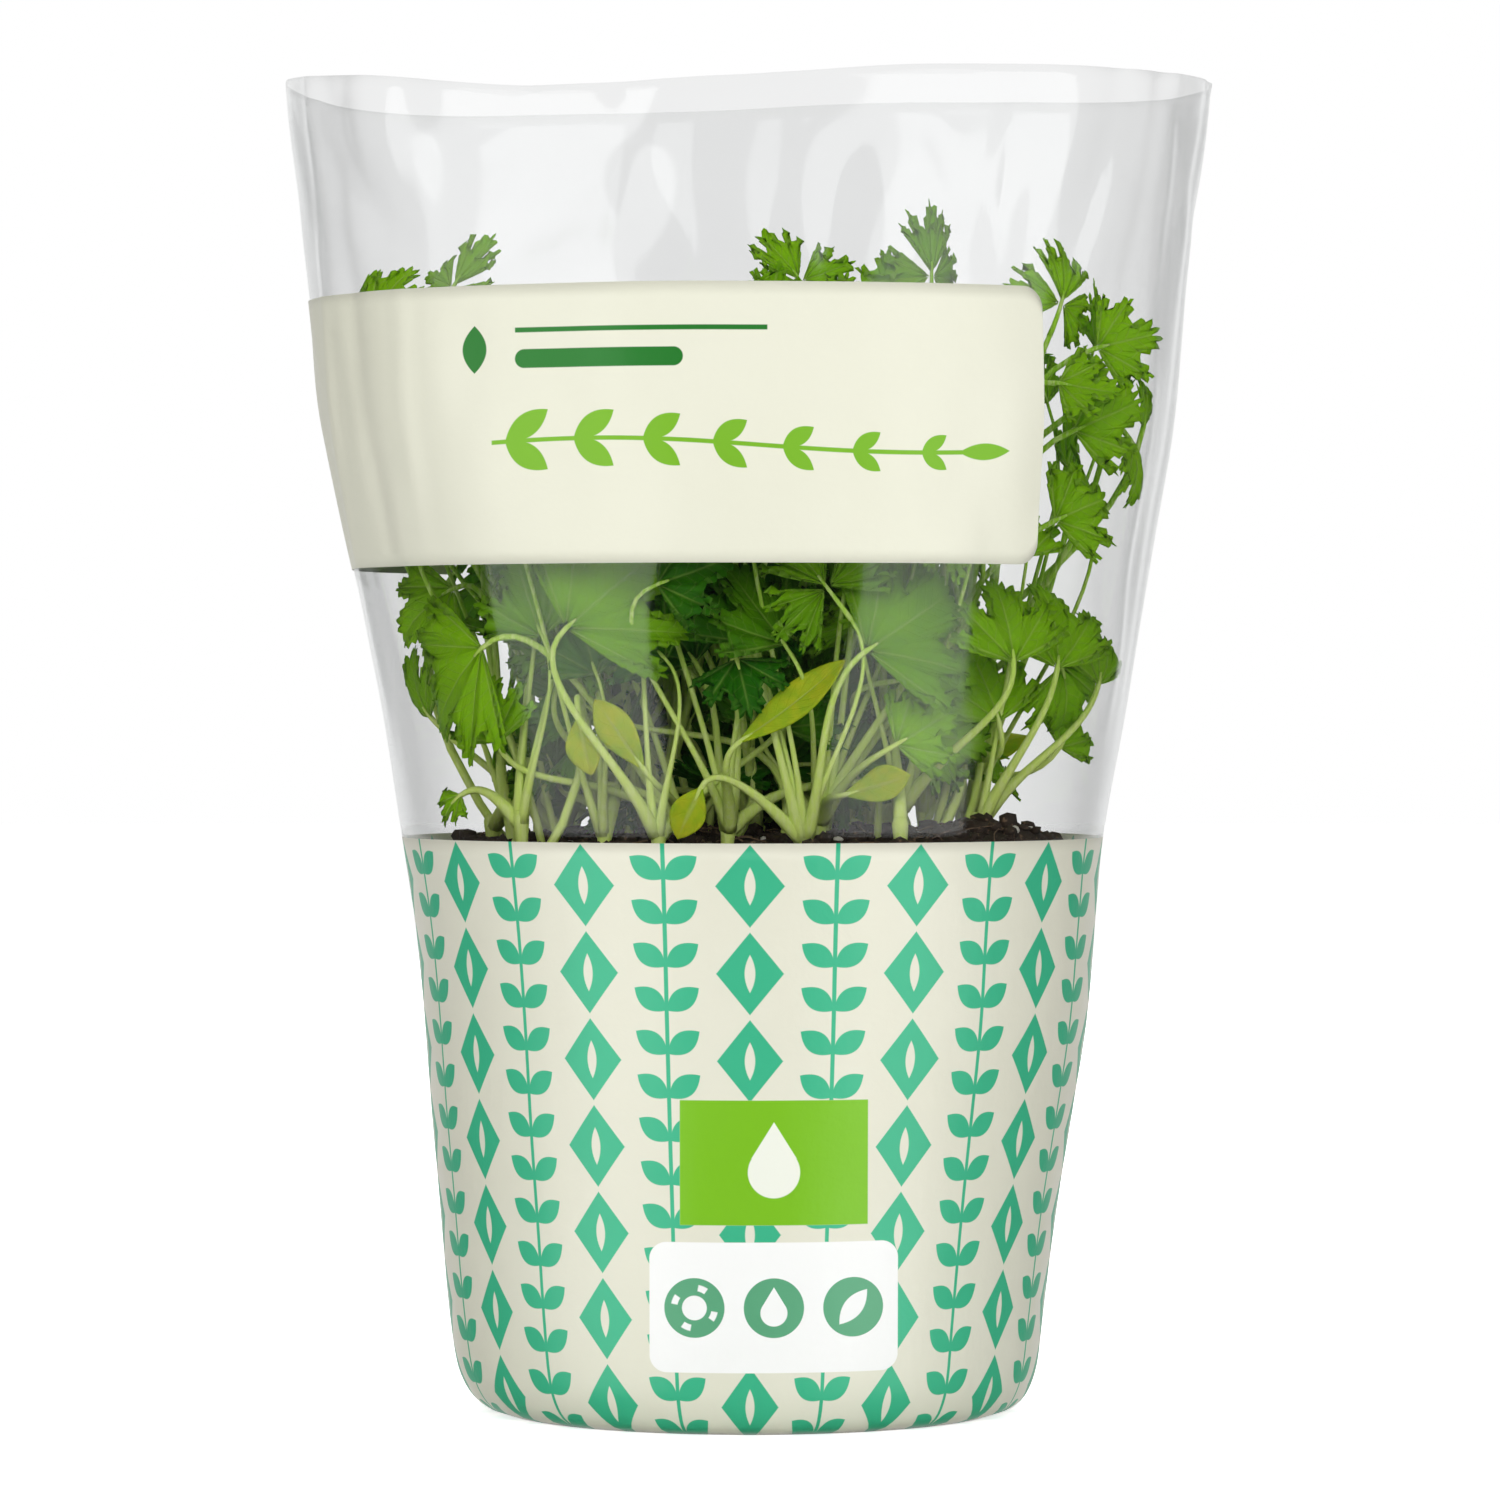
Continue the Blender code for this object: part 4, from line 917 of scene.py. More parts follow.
def fine_leaflet(leaf, start, heading, length, spread, painted_light, steps, draw):
    """A leaflet as a fan of rows: five lobes folded along their ribs, with round teeth of uneven depth."""
    spread = math.radians(spread)
    place, edge_x, edge_y, pull_x, pull_y = toothed_edge(spread, length, steps, draw)
    share = np.array(BLADE_ROWS[steps])[:, None]
    mix = np.clip((share - 0.55) / 0.45, 0, 1) ** 2
    x, y = share * edge_x + mix * pull_x, share * edge_y + mix * pull_y
    reach = np.hypot(x, y)
    place = np.broadcast_to(place, reach.shape)
    height = leaflet_height(reach, place, leaf, heading)
    fold = np.interp(np.abs(place), (0.0, 0.32, 0.53, 0.70, 0.86, 1.0), (1.0, 0.0, 1.0, 0.0, 1.0, 0.4))
    height -= 0.085 * reach * fold ** 0.8
    height += 0.030 * reach ** 3 * np.sin(19 * place + 4 * leaf.ripple)
    turned_x = x * math.cos(heading) - y * math.sin(heading)
    turned_y = x * math.sin(heading) + y * math.cos(heading)
    grid = in_world(leaf, start[0] + length * turned_x, start[1] + length * turned_y, height * length)
    return sheet_as_shell(grid, place, reach, length, painted_light, BLADE_MARK)


def fine_seed_leaf(leaf, painted_light):
    """A seed leaf: long, smooth-edged and a little cupped, widest beyond its middle."""
    u = np.linspace(0.0, 1.0, 22)[:, None]
    v = np.linspace(-1.0, 1.0, 9)[None, :]
    width = SEED_LEAF_HALF_WIDTH * np.sin(math.pi * np.clip(u, 0, 1) ** 1.25) ** 0.8 + 0.0005 * (1 - u)
    x = u * leaf.length + 0 * v
    y = v * width
    z = 0.22 * np.abs(y) + 0.0006 * np.sin(7 * u + 2 * leaf.ripple) * v
    grid = in_world(leaf, x, y, z)
    return sheet_as_shell(grid, 0 * x + v * 0.25, 0.15 + 0.8 * u + 0 * v, leaf.length, painted_light, SEED_MARK)


def stalk_shell(line, radii, sides, painted_light):
    marks = np.zeros((len(line), 6))
    marks[:, 0] = np.linspace(0.0, 1.0, len(line))
    marks[:, 3] = painted_light
    return tube(line, radii, sides, marks)


def fine_leaf(leaf, painted_light, steps, draw):
    """All shells of a leaf's blade, in the layout of the coarse one."""
    if leaf.kind == "seed":
        return [fine_seed_leaf(leaf, painted_light)]
    if leaf.kind == "simple":
        return [fine_leaflet(leaf, (0.0, 0.0), 0.0, leaf.length, 80, painted_light, steps, draw)]
    hub = 0.34 * leaf.length
    turned = math.radians(94)
    shells = [fine_leaflet(leaf, (hub, 0.0), 0.0, 0.66 * leaf.length, 46, painted_light, steps, draw)]
    for side in (-1, 1):
        start = (hub - 0.0008, side * 0.0008)
        shells.append(fine_leaflet(leaf, start, side * turned, 0.58 * leaf.length, 46, painted_light, steps, draw))
    rib = np.linspace(0.0, hub + 0.002, 6)
    line = in_world(leaf, rib, 0 * rib, 0 * rib)
    shells.append(stalk_shell(line, np.linspace(0.00055, 0.0003, 6), 6, painted_light))
    return shells


def into_blade(line, leaf):
    """The stalk's line with two more points, which run under the blade along its rib."""
    rib = np.array([0.0010, 0.0024])
    return np.concatenate([np.array([tuple(p) for p in line]), in_world(leaf, rib, 0 * rib, 0 * rib)])


def fine_stalk(crown, leaf, painted_light, thick):
    """A leaf's stalk from inside its crown, where it widens to a sheath, to its blade's ribs."""
    reach = (leaf.base - crown).length
    line = into_blade(arch(crown, leaf, 17), leaf)
    share = np.linspace(0.0, 1.0, len(line))
    radii = thick * (0.00088 * (1 - share) + 0.00046 * share)
    radii += 0.00050 * np.exp(-(share * reach / 0.007) ** 2)
    radii[-2:] = 0.00040, 0.00022
    return stalk_shell(line, radii, 8, painted_light)


def painted_light_of(leaf, draw):
    """A leaf's painted light and shade: leaves at the sides, on top and near the film are painted bright, and
    those deep in the middle get painted shade.
    """
    wall = sleeve_point(math.atan2(leaf.base.x, -leaf.base.y), min(leaf.base.z, RIM_MEAN)).xy.length
    depth = leaf.base.xy.length / wall
    side = min(max(abs(leaf.base.x + 0.009) - 0.006, 0.0) / 0.032, 1.0)
    above = ease((leaf.base.z - 0.165) / 0.030)
    return min(max(0.20 * depth - 0.06 + 0.78 * max(side, above) + draw.uniform(-0.14, 0.14), 0.0), 1.0)


def fine_seedling(seedling, draw):
    """All shells of one seedling: its rooted stem, its crown, stalks and blades."""
    foot = Vector((*seedling.root, soil_height(*seedling.root) - ROOT_DEPTH))
    line = [foot.lerp(seedling.crown, k / 7) for k in range(8)] + [seedling.crown + Vector((0, 0, 0.0012))]
    radii = [0.0009, 0.0010, 0.0010, 0.0011, 0.0012, 0.0013, 0.0015, 0.0016, 0.0010]
    shells = [stalk_shell([tuple(p) for p in line], radii, 8, 0.0)]
    for leaf in seedling.leaves:
        painted_light = painted_light_of(leaf, draw)
        shells.append(fine_stalk(seedling.crown, leaf, painted_light, 1.0))
        shells += fine_leaf(leaf, painted_light, 4, draw)
    return shells


coriander, shader, place = new_finish("coriander", (0.10, 0.25, 0.02), 0.42, Specular_IOR_Level=0.14)
at = place.node("Attribute", {"attribute_name": "leaf_at"}, {}, 1)
# leaf_look holds each leaf's painted light (0 is painted shade, 1 painted light), the side of the blade, and
# what the point belongs to
look = place.node("Attribute", {"attribute_name": "leaf_look"}, {}, 1)
turn, reach, size = abs(at.axis("X")), at.axis("Y"), at.axis("Z")
painted_light, under, kind = look.axis("X"), look.axis("Y"), look.axis("Z")
is_blade = kind.between(0.2, 0.4)
is_seed_leaf = kind.between(0.7, 0.9)
# The ribs fan out from the blade's base, and side veins leave them at a slant
off_rib = turn.least(abs(turn - 0.53)).least(abs(turn - 0.86)) * 1.15 * reach * size
rib = off_rib.between(0.34, 0.07) * reach.between(1.02, 0.60)
slant = ((reach * size - 1.1 * off_rib) / 2.1).fraction()
side_vein = abs(slant - 0.5).between(0.085, 0.02) * off_rib.between(0.05, 0.4) * reach.between(0.12, 0.3)
cells = place.node("TexVoronoi", {"feature": "DISTANCE_TO_EDGE"}, {"Vector": place, "Scale": 1300.0})
net = cells.between(0.06, 0.0) * 0.35
veins = rib.most(side_vein * 0.6)
mottle = place.grain(420.0, 4.0, 0.6)
patch = place.grain(90.0, 2.0)
# Painted shade and painted light: a blade's upper side runs from the shaded green to the lit green by its
# painted light, and its veins and paler lower side show more where it has more painted light
shaded_leaf = mottle.mixed((0.007, 0.100, 0.0005), (0.018, 0.180, 0.001))
lit_leaf = mottle.mixed((0.255, 0.605, 0.003), (0.410, 0.785, 0.008))
upper = (painted_light + 0.35 * (patch - 0.5)).between(0.0, 1.0).mixed(shaded_leaf, lit_leaf)
upper = (veins * (0.24 + 0.38 * painted_light)).mixed(upper, (0.420, 0.620, 0.110))
lower = mottle.mixed((0.150, 0.330, 0.030), (0.270, 0.470, 0.070))
lower = (veins * 0.5).mixed(lower, (0.42, 0.60, 0.17))
blade = (under * (0.15 + 0.45 * painted_light)).mixed(upper, lower)
seed_leaf = (mottle + 0.3 * reach).between(0.3, 1.1).mixed((0.420, 0.680, 0.020), (0.850, 0.800, 0.030))
seed_leaf = (rib * 0.4).mixed(seed_leaf, (0.55, 0.62, 0.20))
height = place.axis("Z")
stripe = place.scaled(1.0, 1.0, 0.06).grain(1500.0, 2.0)
relief = 0.5 * mottle - veins * (1 - 1.8 * under) - net + 0.5 * stripe * (1 - is_blade)
stem = height.between(0.114, 0.168).mixed((0.740, 0.910, 0.215), (0.320, 0.630, 0.034))
stem = (stripe.between(0.45, 0.62) * 0.45).mixed(stem, (0.820, 0.920, 0.400))
leafy = is_seed_leaf.mixed(blade, seed_leaf)
feed(
    shader,
    Base_Color=is_blade.mixed(stem, leafy),
    Roughness=0.34 + 0.20 * mottle + 0.16 * under,
    Normal=relief.bump(0.00022, 0.75),
)
lit_through = place.node("BsdfTranslucent", {}, {"Color": (0.24, 0.58, 0.004)})
share = 0.10 + 0.25 * is_blade * (1 - 0.4 * veins)
mixed = share.node("MixShader", {}, {0: share, 1: Field(shader.outputs[0]), 2: lit_through})


def show_as(finish, mixed):
    """Makes this mix of shaders the finish's surface."""
    finish.node_tree.links.new(mixed.socket, finish.node_tree.nodes["Material Output"].inputs["Surface"])


def herb_piece(name, shells):
    """A piece of the herb, with the marks that its finish reads."""
    points, faces, marks = joined(shells)
    marks = {"leaf_at": marks[:, :3], "leaf_look": marks[:, 3:]}
    return new_piece(name, points, faces, coriander, "coriander", **marks)


show_as(coriander, mixed)
seedlings, placed = plan_seedlings()
shown = [s for s in seedlings if s.leaves]
draw = random.Random(23)
for number, seedling in enumerate(shown, 1):
    piece = herb_piece(f"coriander_{number:02d}", fine_seedling(seedling, draw))
    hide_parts(f"seedling_{number:02d}")

# The rest of the crop: more small leaves and thin stalks between the seedlings, sown with them
# and as thin as they are. They fill the middle below the label, which their painted shade makes
# dark, and thin out to the sides.
EXTRA_LEAVES = 250
LOW_LEAVES = 70
EXTRA_CLEARANCE = 0.15 * MM
EXTRA_CEILING = 0.2065
OWN_STEM_SHARE = 0.62
# Kept free: the right end above this height, the lower sides, and the front, where bare stems show
CLEAR_RIGHT = 0.049
CLEAR_RIGHT_FROM = 0.150
FRINGE = 0.72
FRINGE_TOP = 0.16
FRINGE_RADIUS = 0.045
STEMS_Y = -0.030
STEMS_HALF_WIDTH = 0.040
STEMS_TOP = 0.136


def extra_leaf(k, draw):
    """A leaf of the crop's inside, turned out and up, from the peat to just under the label's top."""
    low_one = k >= EXTRA_LEAVES
    share = (k + draw.random()) / EXTRA_LEAVES
    z = draw.uniform(0.113, 0.128) if low_one else 0.1165 + 0.086 * share ** 1.25
    angle = k * GOLDEN_ANGLE + draw.uniform(-0.6, 0.6)
    wall = sleeve_point(angle, z)
    reach = draw.uniform(0.12, 0.90) ** 0.8
    base = Vector((wall.x * reach, wall.y * reach, z))
    # The low ones move to the back, where they stop the light from behind between the stems and, with their
    # painted shade, look dark
    if low_one:
        base.y = 0.75 * base.y + 0.012
    outward = Vector((wall.x, wall.y, 0)).normalized()
    sideways = Vector((-outward.y, outward.x, 0)) * draw.uniform(-1.0, 1.0)
    upward = Vector((0, 0, draw.uniform(-0.5, 1.2)))
    along = (outward * draw.uniform(-0.2, 0.8) + sideways + upward).normalized()
    face = outward * draw.uniform(0.3, 1.2) + Vector((draw.uniform(-0.4, 0.4), 0, draw.uniform(0.0, 0.9)))
    kind = "simple" if draw.random() < 0.72 else "compound"
    low = ease((z - 0.112) / 0.03)
    length = draw.uniform(0.010, 0.014) + 0.007 * low * draw.random() + 0.006 * (kind == "compound")
    return Leaf(kind, base, along, face, length, draw.uniform(-0.4, 0.9) or 0.1, draw.uniform(0.5, 3.0))


def room_for(leaf, placed):
    """The leaf's shell where it lies inside the film and meets no other blade, or None."""
    side = abs(math.sin(math.atan2(leaf.base.x, -leaf.base.y)))
    if leaf.base.z < FRINGE_TOP and side > FRINGE and leaf.base.xy.length > FRINGE_RADIUS:
        return None
    sheet = free_sheet(leaf, 0.0010)
    if not sheet or any(p.z > EXTRA_CEILING for p in sheet[0]):
        return None
    if any(p.x > CLEAR_RIGHT and p.z > CLEAR_RIGHT_FROM for p in sheet[0]):
        return None
    if any(p.y < STEMS_Y and abs(p.x) < STEMS_HALF_WIDTH and p.z < STEMS_TOP for p in sheet[0]):
        return None
    shell = boxed(-1, "blade", *sheet_shell(*sheet, LEAF_THICKNESS / 2 + EXTRA_CLEARANCE))
    blades = [old for old in placed if old.part == "blade"]
    return None if meets(shell, blades) else shell


def own_stem(leaf, painted_light, draw):
    """A seedling's pale stem that leaves the peat aslant, arches, and carries this leaf alone."""
    turn = math.atan2(leaf.base.y, leaf.base.x) + draw.uniform(-1.1, 1.1)
    radius = min(leaf.base.xy.length, SOIL_RADIUS - 0.004) * draw.uniform(0.35, 1.0)
    foot = Vector((radius * math.cos(turn), radius * math.sin(turn), 0))
    foot.z = crumbly_height(foot.x, foot.y) - 0.004
    reach = (leaf.base - foot).length
    lean = Vector((draw.uniform(-0.45, 0.45), draw.uniform(-0.25, 0.25), draw.uniform(0.45, 0.8))) * reach
    line = bezier(foot, foot + lean, leaf.base - leaf.along * 0.34 * reach, leaf.base, 15)
    if not all(inside_sleeve(p, 0.0012) for p in line) or any(p.y < -0.036 and p.z > STEMS_TOP for p in line):
        return None
    line = into_blade(line, leaf)
    share = np.linspace(0.0, 1.0, len(line))
    radii = draw.uniform(0.85, 1.15) * (0.00095 - 0.00055 * share ** 0.8)
    radii[-2:] = 0.00036, 0.00020
    return stalk_shell(line, radii, 6, painted_light)


# Small leaves that show above the label and at its right: rows as in the placed leaves
TOP_ROWS = (
    ("simple", -70.0, -13.0, 204.5, 22, 0, 13),
    ("simple", 4.0, -20.0, 207.0, 10, 0, 8),
    ("simple", 16.0, -20.0, 206.5, 20, 0, 7),
    ("simple", 26.0, -15.0, 208.0, -6, 0, 9),
    ("simple", 69.0, 12.0, 189.0, 20, 0, 14),
    ("simple", 65.0, 6.0, 200.0, 12, 0, 13),
    ("simple", 64.0, -4.0, 171.0, -14, 0, 11),
    ("simple", 51.0, -27.0, 159.5, 8, 0, 10),
    ("simple", 60.0, 6.0, 177.0, -5, 0, 12),
    ("simple", 56.0, 2.0, 189.0, -20, 0, 12),
)

draw = random.Random(41)
crowns = [s.crown for s in seedlings]
sectors = [[] for _ in range(6)]
for row in TOP_ROWS:
    leaf = leaf_from_row(row, draw, 0)
    painted_light = painted_light_of(leaf, draw)
    crown = min(crowns, key=lambda c: (c.xy - leaf.base.xy * 0.7).length)
    sectors[0] += [fine_stalk(crown, leaf, painted_light, 0.6)] + fine_leaf(leaf, painted_light, 4, draw)
for k in range(EXTRA_LEAVES + LOW_LEAVES):
    for attempt in range(14):
        leaf = extra_leaf(k, draw)
        shell = room_for(leaf, placed)
        if shell:
            placed.append(shell)
            under = leaf.base * 0.72
            near = sorted(range(ROOT_COUNT), key=lambda j: (crowns[j].xy - under.xy).length)
            crown = crowns[near[draw.randrange(3)]]
            painted_light = painted_light_of(leaf, draw)
            angle = math.atan2(leaf.base.x, -leaf.base.y) % (2 * math.pi)
            sector = sectors[min(int(angle / (math.pi / 3)), 5)]
            stem = own_stem(leaf, painted_light, draw) if draw.random() < OWN_STEM_SHARE else None
            sector.append(stem or fine_stalk(crown, leaf, painted_light, draw.uniform(0.55, 0.85)))
            sector += fine_leaf(leaf, painted_light, 3, draw)
            break
for number, shells in enumerate(sectors, 1):
    herb_piece(f"coriander_fill_{number}", shells)

# The printed lower sleeve: polypropylene film printed cream with rows of teal herb shapes, a
# green field and a pale panel. It closes under the pot as a flat base with a soft round edge.
FILM_THICKNESS = 0.10 * MM
PRINT_TOP = 0.1075
SLEEVE_COLUMNS = 288
CLEAR_ROWS = 56
# Folds: degrees from the front, degrees of lean for each centimetre up, width in degrees, depth
# in millimetres, and the height where each starts
FILM_FOLDS = (
    (-72.0, 0.6, 2.2, 0.5, 0.118),
    (-62.0, -0.4, 2.6, -0.5, 0.122),
    (-50.0, 0.3, 2.0, 0.35, 0.150),
    (66.0, -0.5, 2.4, 0.6, 0.118),
    (57.0, 0.4, 2.0, -0.45, 0.130),
    (48.0, 0.9, 1.8, 0.4, 0.145),
    (80.0, 0.0, 2.6, -0.5, 0.120),
    (112.0, 0.5, 3.0, 0.6, 0.120),
    (140.0, -0.4, 2.4, -0.6, 0.125),
    (171.0, 0.2, 2.8, 0.6, 0.118),
    (-108.0, 0.3, 2.5, 0.6, 0.120),
    (-137.0, 0.5, 3.0, -0.6, 0.130),
    (-160.0, -0.3, 2.2, 0.5, 0.122),
)


def film_dent(angle, z):
    """How far the film stands in or out of its plain shape: soft dents, and folds up the sides."""
    loose = ease((z - 0.112) / 0.045)
    spot = Vector((3.2 * math.sin(angle), 3.2 * math.cos(angle), z * 22))
    dent = 0.0007 * noise.noise(spot) + 0.0004 * noise.noise(spot * 2.3)
    petal = Vector((3.3 * math.sin(angle) + 1.7, 3.3 * math.cos(angle), z * 36))
    crumple = abs(noise.noise(petal)) * ease((z - 0.206) / 0.020)
    dent += 0.0048 * crumple * (1 - 0.8 * abs(math.sin(angle)) ** 4)
    fold = 0.0
    for at_degrees, lean, wide, deep, low in FILM_FOLDS:
        shift = math.radians(at_degrees + lean * (z - 0.2) * 100) - angle
        shift = (shift + math.pi) % (2 * math.pi) - math.pi
        fold += deep * math.exp(-(shift / math.radians(wide)) ** 2) * ease((z - low) / 0.03)
    return loose * dent + fold * MM + 0.00012 * noise.noise(spot * 1.7) * (1 - loose)


def film_point(angle, z, out=0.0):
    return sleeve_point(angle, z, out + film_dent(angle, z))


def film_rows(heights, out):
    """Rings of points on the film, which follow the wavy rim more the higher they are."""
    turns = np.linspace(0.0, 2 * math.pi, SLEEVE_COLUMNS, endpoint=False)
    rows = []
    for z in heights:
        wave = ease((z - RIM_WAVE_START) / (RIM_MEAN - RIM_WAVE_START))
        rows += [tuple(film_point(a, z + wave * (rim_height(a) - RIM_MEAN), out)) for a in turns]
    return np.array(rows)


def film_shell(heights):
    """Both sides of the film, with quads for its sides and its upper edge, and for its lower edge."""
    outer, inner = film_rows(heights, 0.0), film_rows(heights, -FILM_THICKNESS)
    count = len(outer)
    sides = ring_faces(len(heights), SLEEVE_COLUMNS)
    k = np.arange(SLEEVE_COLUMNS)
    following = (k + 1) % SLEEVE_COLUMNS
    last = count - SLEEVE_COLUMNS
    rim = np.stack([k + last, following + last, following + last + count, k + last + count], -1)
    foot = np.stack([following, k, k + count, following + count], -1)
    return np.concatenate([outer, inner]), np.concatenate([sides, sides[:, ::-1] + count, rim]), foot


printed_film, shader, place = new_finish("printed_film", (0.86, 0.85, 0.71), 0.38, Specular_IOR_Level=0.5)
x, y, z = place.axis("X"), place.axis("Y"), place.axis("Z")
MOTIF_COLUMNS = 26
MOTIF_PITCH = 15.7
round_angle = place.node("Math", {"operation": "ARCTAN2"}, {0: x, 1: 0 - y})
column = round_angle * (MOTIF_COLUMNS / (2 * math.pi)) + 0.5
odd = ((column.whole() * 0.5).fraction() * 2).between(0.4, 0.6)
a = (column.fraction() - 0.5) * 14.4
row = z * (1000 / MOTIF_PITCH) + 0.5 * odd + 0.14
b = (row.fraction() - 0.5) * MOTIF_PITCH


def lens(across, along, reach, wide):
    """1 inside a pointed leaf shape this long and wide to each side of its middle."""
    outline = wide * (1 - (along / reach) * (along / reach)) - abs(across)
    return outline.between(-0.10, 0.10)


def slanted_pair(a, b, lean, reach, wide, height):
    """Two leaf shapes that leave a stem to the left and the right."""
    cosine, sine = math.cos(lean), math.sin(lean)
    out = abs(a)
    along = out * sine + (b - height) * cosine - reach
    across = out * cosine - (b - height) * sine
    return lens(across, along, reach, wide)


sprig = slanted_pair(a, b, 0.95, 3.5, 1.95, -6.6).most(slanted_pair(a, b, 0.95, 3.5, 1.95, 1.2))
sprig = sprig.most(abs(a).between(0.45, 0.30))
slope = abs(a) * 0.80 + abs(b) * 0.62
seed = slope.between(4.7, 4.5) * (1 - lens(a, b, 3.4, 0.9))
teal_parts = odd * sprig + (1 - odd) * seed
front = y.between(-0.010, -0.020)
x_mm, z_mm = x * 1000, z * 1000


def box_mask(x_mm, z_mm, left, right, low, high, corner=0.0, soft=0.10):
    """1 inside a rectangle on the front, with round corners."""
    middle_x, middle_z = (left + right) / 2, (low + high) / 2
    dx = (abs(x_mm - middle_x) - ((right - left) / 2 - corner)).most(0.0)
    dz = (abs(z_mm - middle_z) - ((high - low) / 2 - corner)).most(0.0)
    away = dx.worked("SQRT", dx * dx + dz * dz)
    return away.between(corner + 2 * soft, corner)


def drop_mask(x_mm, z_mm, ball, neck, slope, cone):
    """1 inside a drop: a ball, and from its neck up a cone with this slope."""
    top = z_mm.between(*neck) * (abs(x_mm) + slope * z_mm).between(*cone)
    return (x_mm * x_mm + z_mm * z_mm).between(*ball).most(top)


# In millimetres: left, right, lower and upper edge of the field and the panel, and the marks' places
GREEN_FIELD = (-12.5, 21.1, 38.9, 61.3)
WHITE_PANEL = (-18.0, 26.6, 12.1, 35.6)
PANEL_CORNER = 3.0
SUN_X, DROP_X, LEAF_X = -10.0, 4.3, 18.6
MARKS_Z = 23.8
DROP_Z = 48.4
green_field = front * box_mask(x_mm, z_mm, *GREEN_FIELD)
white_panel = front * box_mask(x_mm, z_mm, *WHITE_PANEL, PANEL_CORNER)
clear_zone = (green_field + white_panel).between(0.9, 0.1)
# A pale drop on the green field, and three plain round marks on the panel: sun, drop and leaf
drop = drop_mask(x_mm - DROP_X, z_mm - DROP_Z, (23.0, 21.0), (2.3, 2.6), 0.62, (5.72, 5.52))
discs = 0 * x
for middle in (SUN_X, DROP_X, LEAF_X):
    dx, dz = x_mm - middle, z_mm - MARKS_Z
    discs = discs.most((dx * dx + dz * dz).between(30.2, 28.6))
sun_x, sun_z = x_mm - SUN_X, z_mm - MARKS_Z
rays = place.node("Math", {"operation": "ARCTAN2"}, {0: sun_x, 1: sun_z})
away = sun_x * sun_x + sun_z * sun_z
rays = (rays * 4.0).sine().between(0.55, 0.75) * away.between(9.0, 10.0) * away.between(19.0, 17.0)
sun = away.between(5.4, 4.6).most(rays)
small = drop_mask(x_mm - DROP_X, z_mm - MARKS_Z + 0.9, (6.3, 5.5), (1.1, 1.3), 0.60, (2.88, 2.76))
leaf_x, leaf_z = x_mm - LEAF_X, z_mm - MARKS_Z
leaf_shape = lens(0.78 * leaf_x - 0.62 * leaf_z, 0.62 * leaf_x + 0.78 * leaf_z, 4.0, 1.7)
symbols = sun.most(small).most(leaf_shape)

shade = place.grain(26.0, 3.0)
cream = shade.mixed((0.740, 0.726, 0.590), (0.804, 0.794, 0.676))
teal = shade.mixed((0.028, 0.440, 0.232), (0.040, 0.485, 0.262))
paint = (teal_parts * clear_zone).mixed(cream, teal)
paint = green_field.mixed(paint, (0.195, 0.520, 0.001))
paint = (green_field * drop).mixed(paint, (0.88, 0.90, 0.80))
paint = white_panel.mixed(paint, (0.95, 0.95, 0.94))
paint = (white_panel * discs).mixed(paint, (0.10, 0.38, 0.20))
paint = (white_panel * discs * symbols).mixed(paint, (0.94, 0.94, 0.93))
crinkle = place.scaled(1.0, 1.0, 0.35).grain(90.0, 3.0)
feed(
    shader,
    Base_Color=paint,
    Roughness=0.30 + 0.14 * place.grain(60.0, 3.0),
    Normal=(crinkle + 0.15 * place.grain(700.0, 2.0)).bump(0.0009, 0.35),
)
heights = np.concatenate([np.linspace(0.0, 0.012, 13), np.linspace(0.0145, PRINT_TOP, 28)])
points, faces, _ = film_shell(heights)
inside = len(points) // 2
points[inside:inside + SLEEVE_COLUMNS, 2] = FILM_THICKNESS
base = np.arange(SLEEVE_COLUMNS)
faces = faces.tolist() + [base[::-1].tolist(), (base + inside).tolist()]
sleeve_print = new_piece("sleeve_print_film", points, faces, printed_film, "printed_film")
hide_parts("sleeve_print")

# The clear upper sleeve: the same film without ink, a clear polypropylene tube that is open at
# the top. Handling has left soft dents and folds in it, and it has a light grey haze.
clear_film, shader, place = new_finish("clear_film", (0.96, 0.97, 0.97), 0.10, Metallic=1.0)
see_through = place.node("BsdfTransparent", {}, {"Color": (0.950, 0.952, 0.952)})
grazing = place.node("LayerWeight", {}, {"Blend": 0.5}, 1)
cloud = place.grain(24.0, 3.0)
creases = place.scaled(1.0, 1.0, 0.12).grain(60.0, 2.0)
share = 0.020 + 0.58 * grazing * grazing * grazing * grazing + 0.008 * cloud.between(0.35, 0.75)
feed(shader, Roughness=0.07 + 0.10 * cloud, Normal=(creases + 0.5 * cloud).bump(0.0006, 0.20))
mixed = share.node("MixShader", {}, {0: share, 1: see_through, 2: Field(shader.outputs[0])})
show_as(clear_film, mixed)
points, faces, foot = film_shell(np.linspace(PRINT_TOP, RIM_MEAN, CLEAR_ROWS))
sleeve_film = new_piece("sleeve_clear_film", points, np.concatenate([faces, foot]), clear_film, "clear_film")
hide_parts("sleeve_film")

# The label: a cream panel printed round the front and the left of the film, with two round
# corners at its right end. It carries a plain line drawing of a herb sprig and no words.
LABEL_BOTTOM = 0.1575
LABEL_TOP = 0.2076
LABEL_LEFT = -130.0
LABEL_RIGHT = 40.0
LABEL_CORNER = 0.004
LABEL_LEAN = 3.2
LABEL_THICKNESS = 0.12 * MM
LABEL_OFF_FILM = 0.20 * MM
LABEL_LINES = 20
LABEL_COLUMNS = 200
CORNER_COLUMNS = 12
# Left, right, lower and upper edge of the two bars, in millimetres
THIN_BAR = (-42.0, 3.0, 199.0, 199.7)
THICK_BAR = (-42.0, -12.0, 192.6, 195.8)
BAR_ROUNDING = 1.6

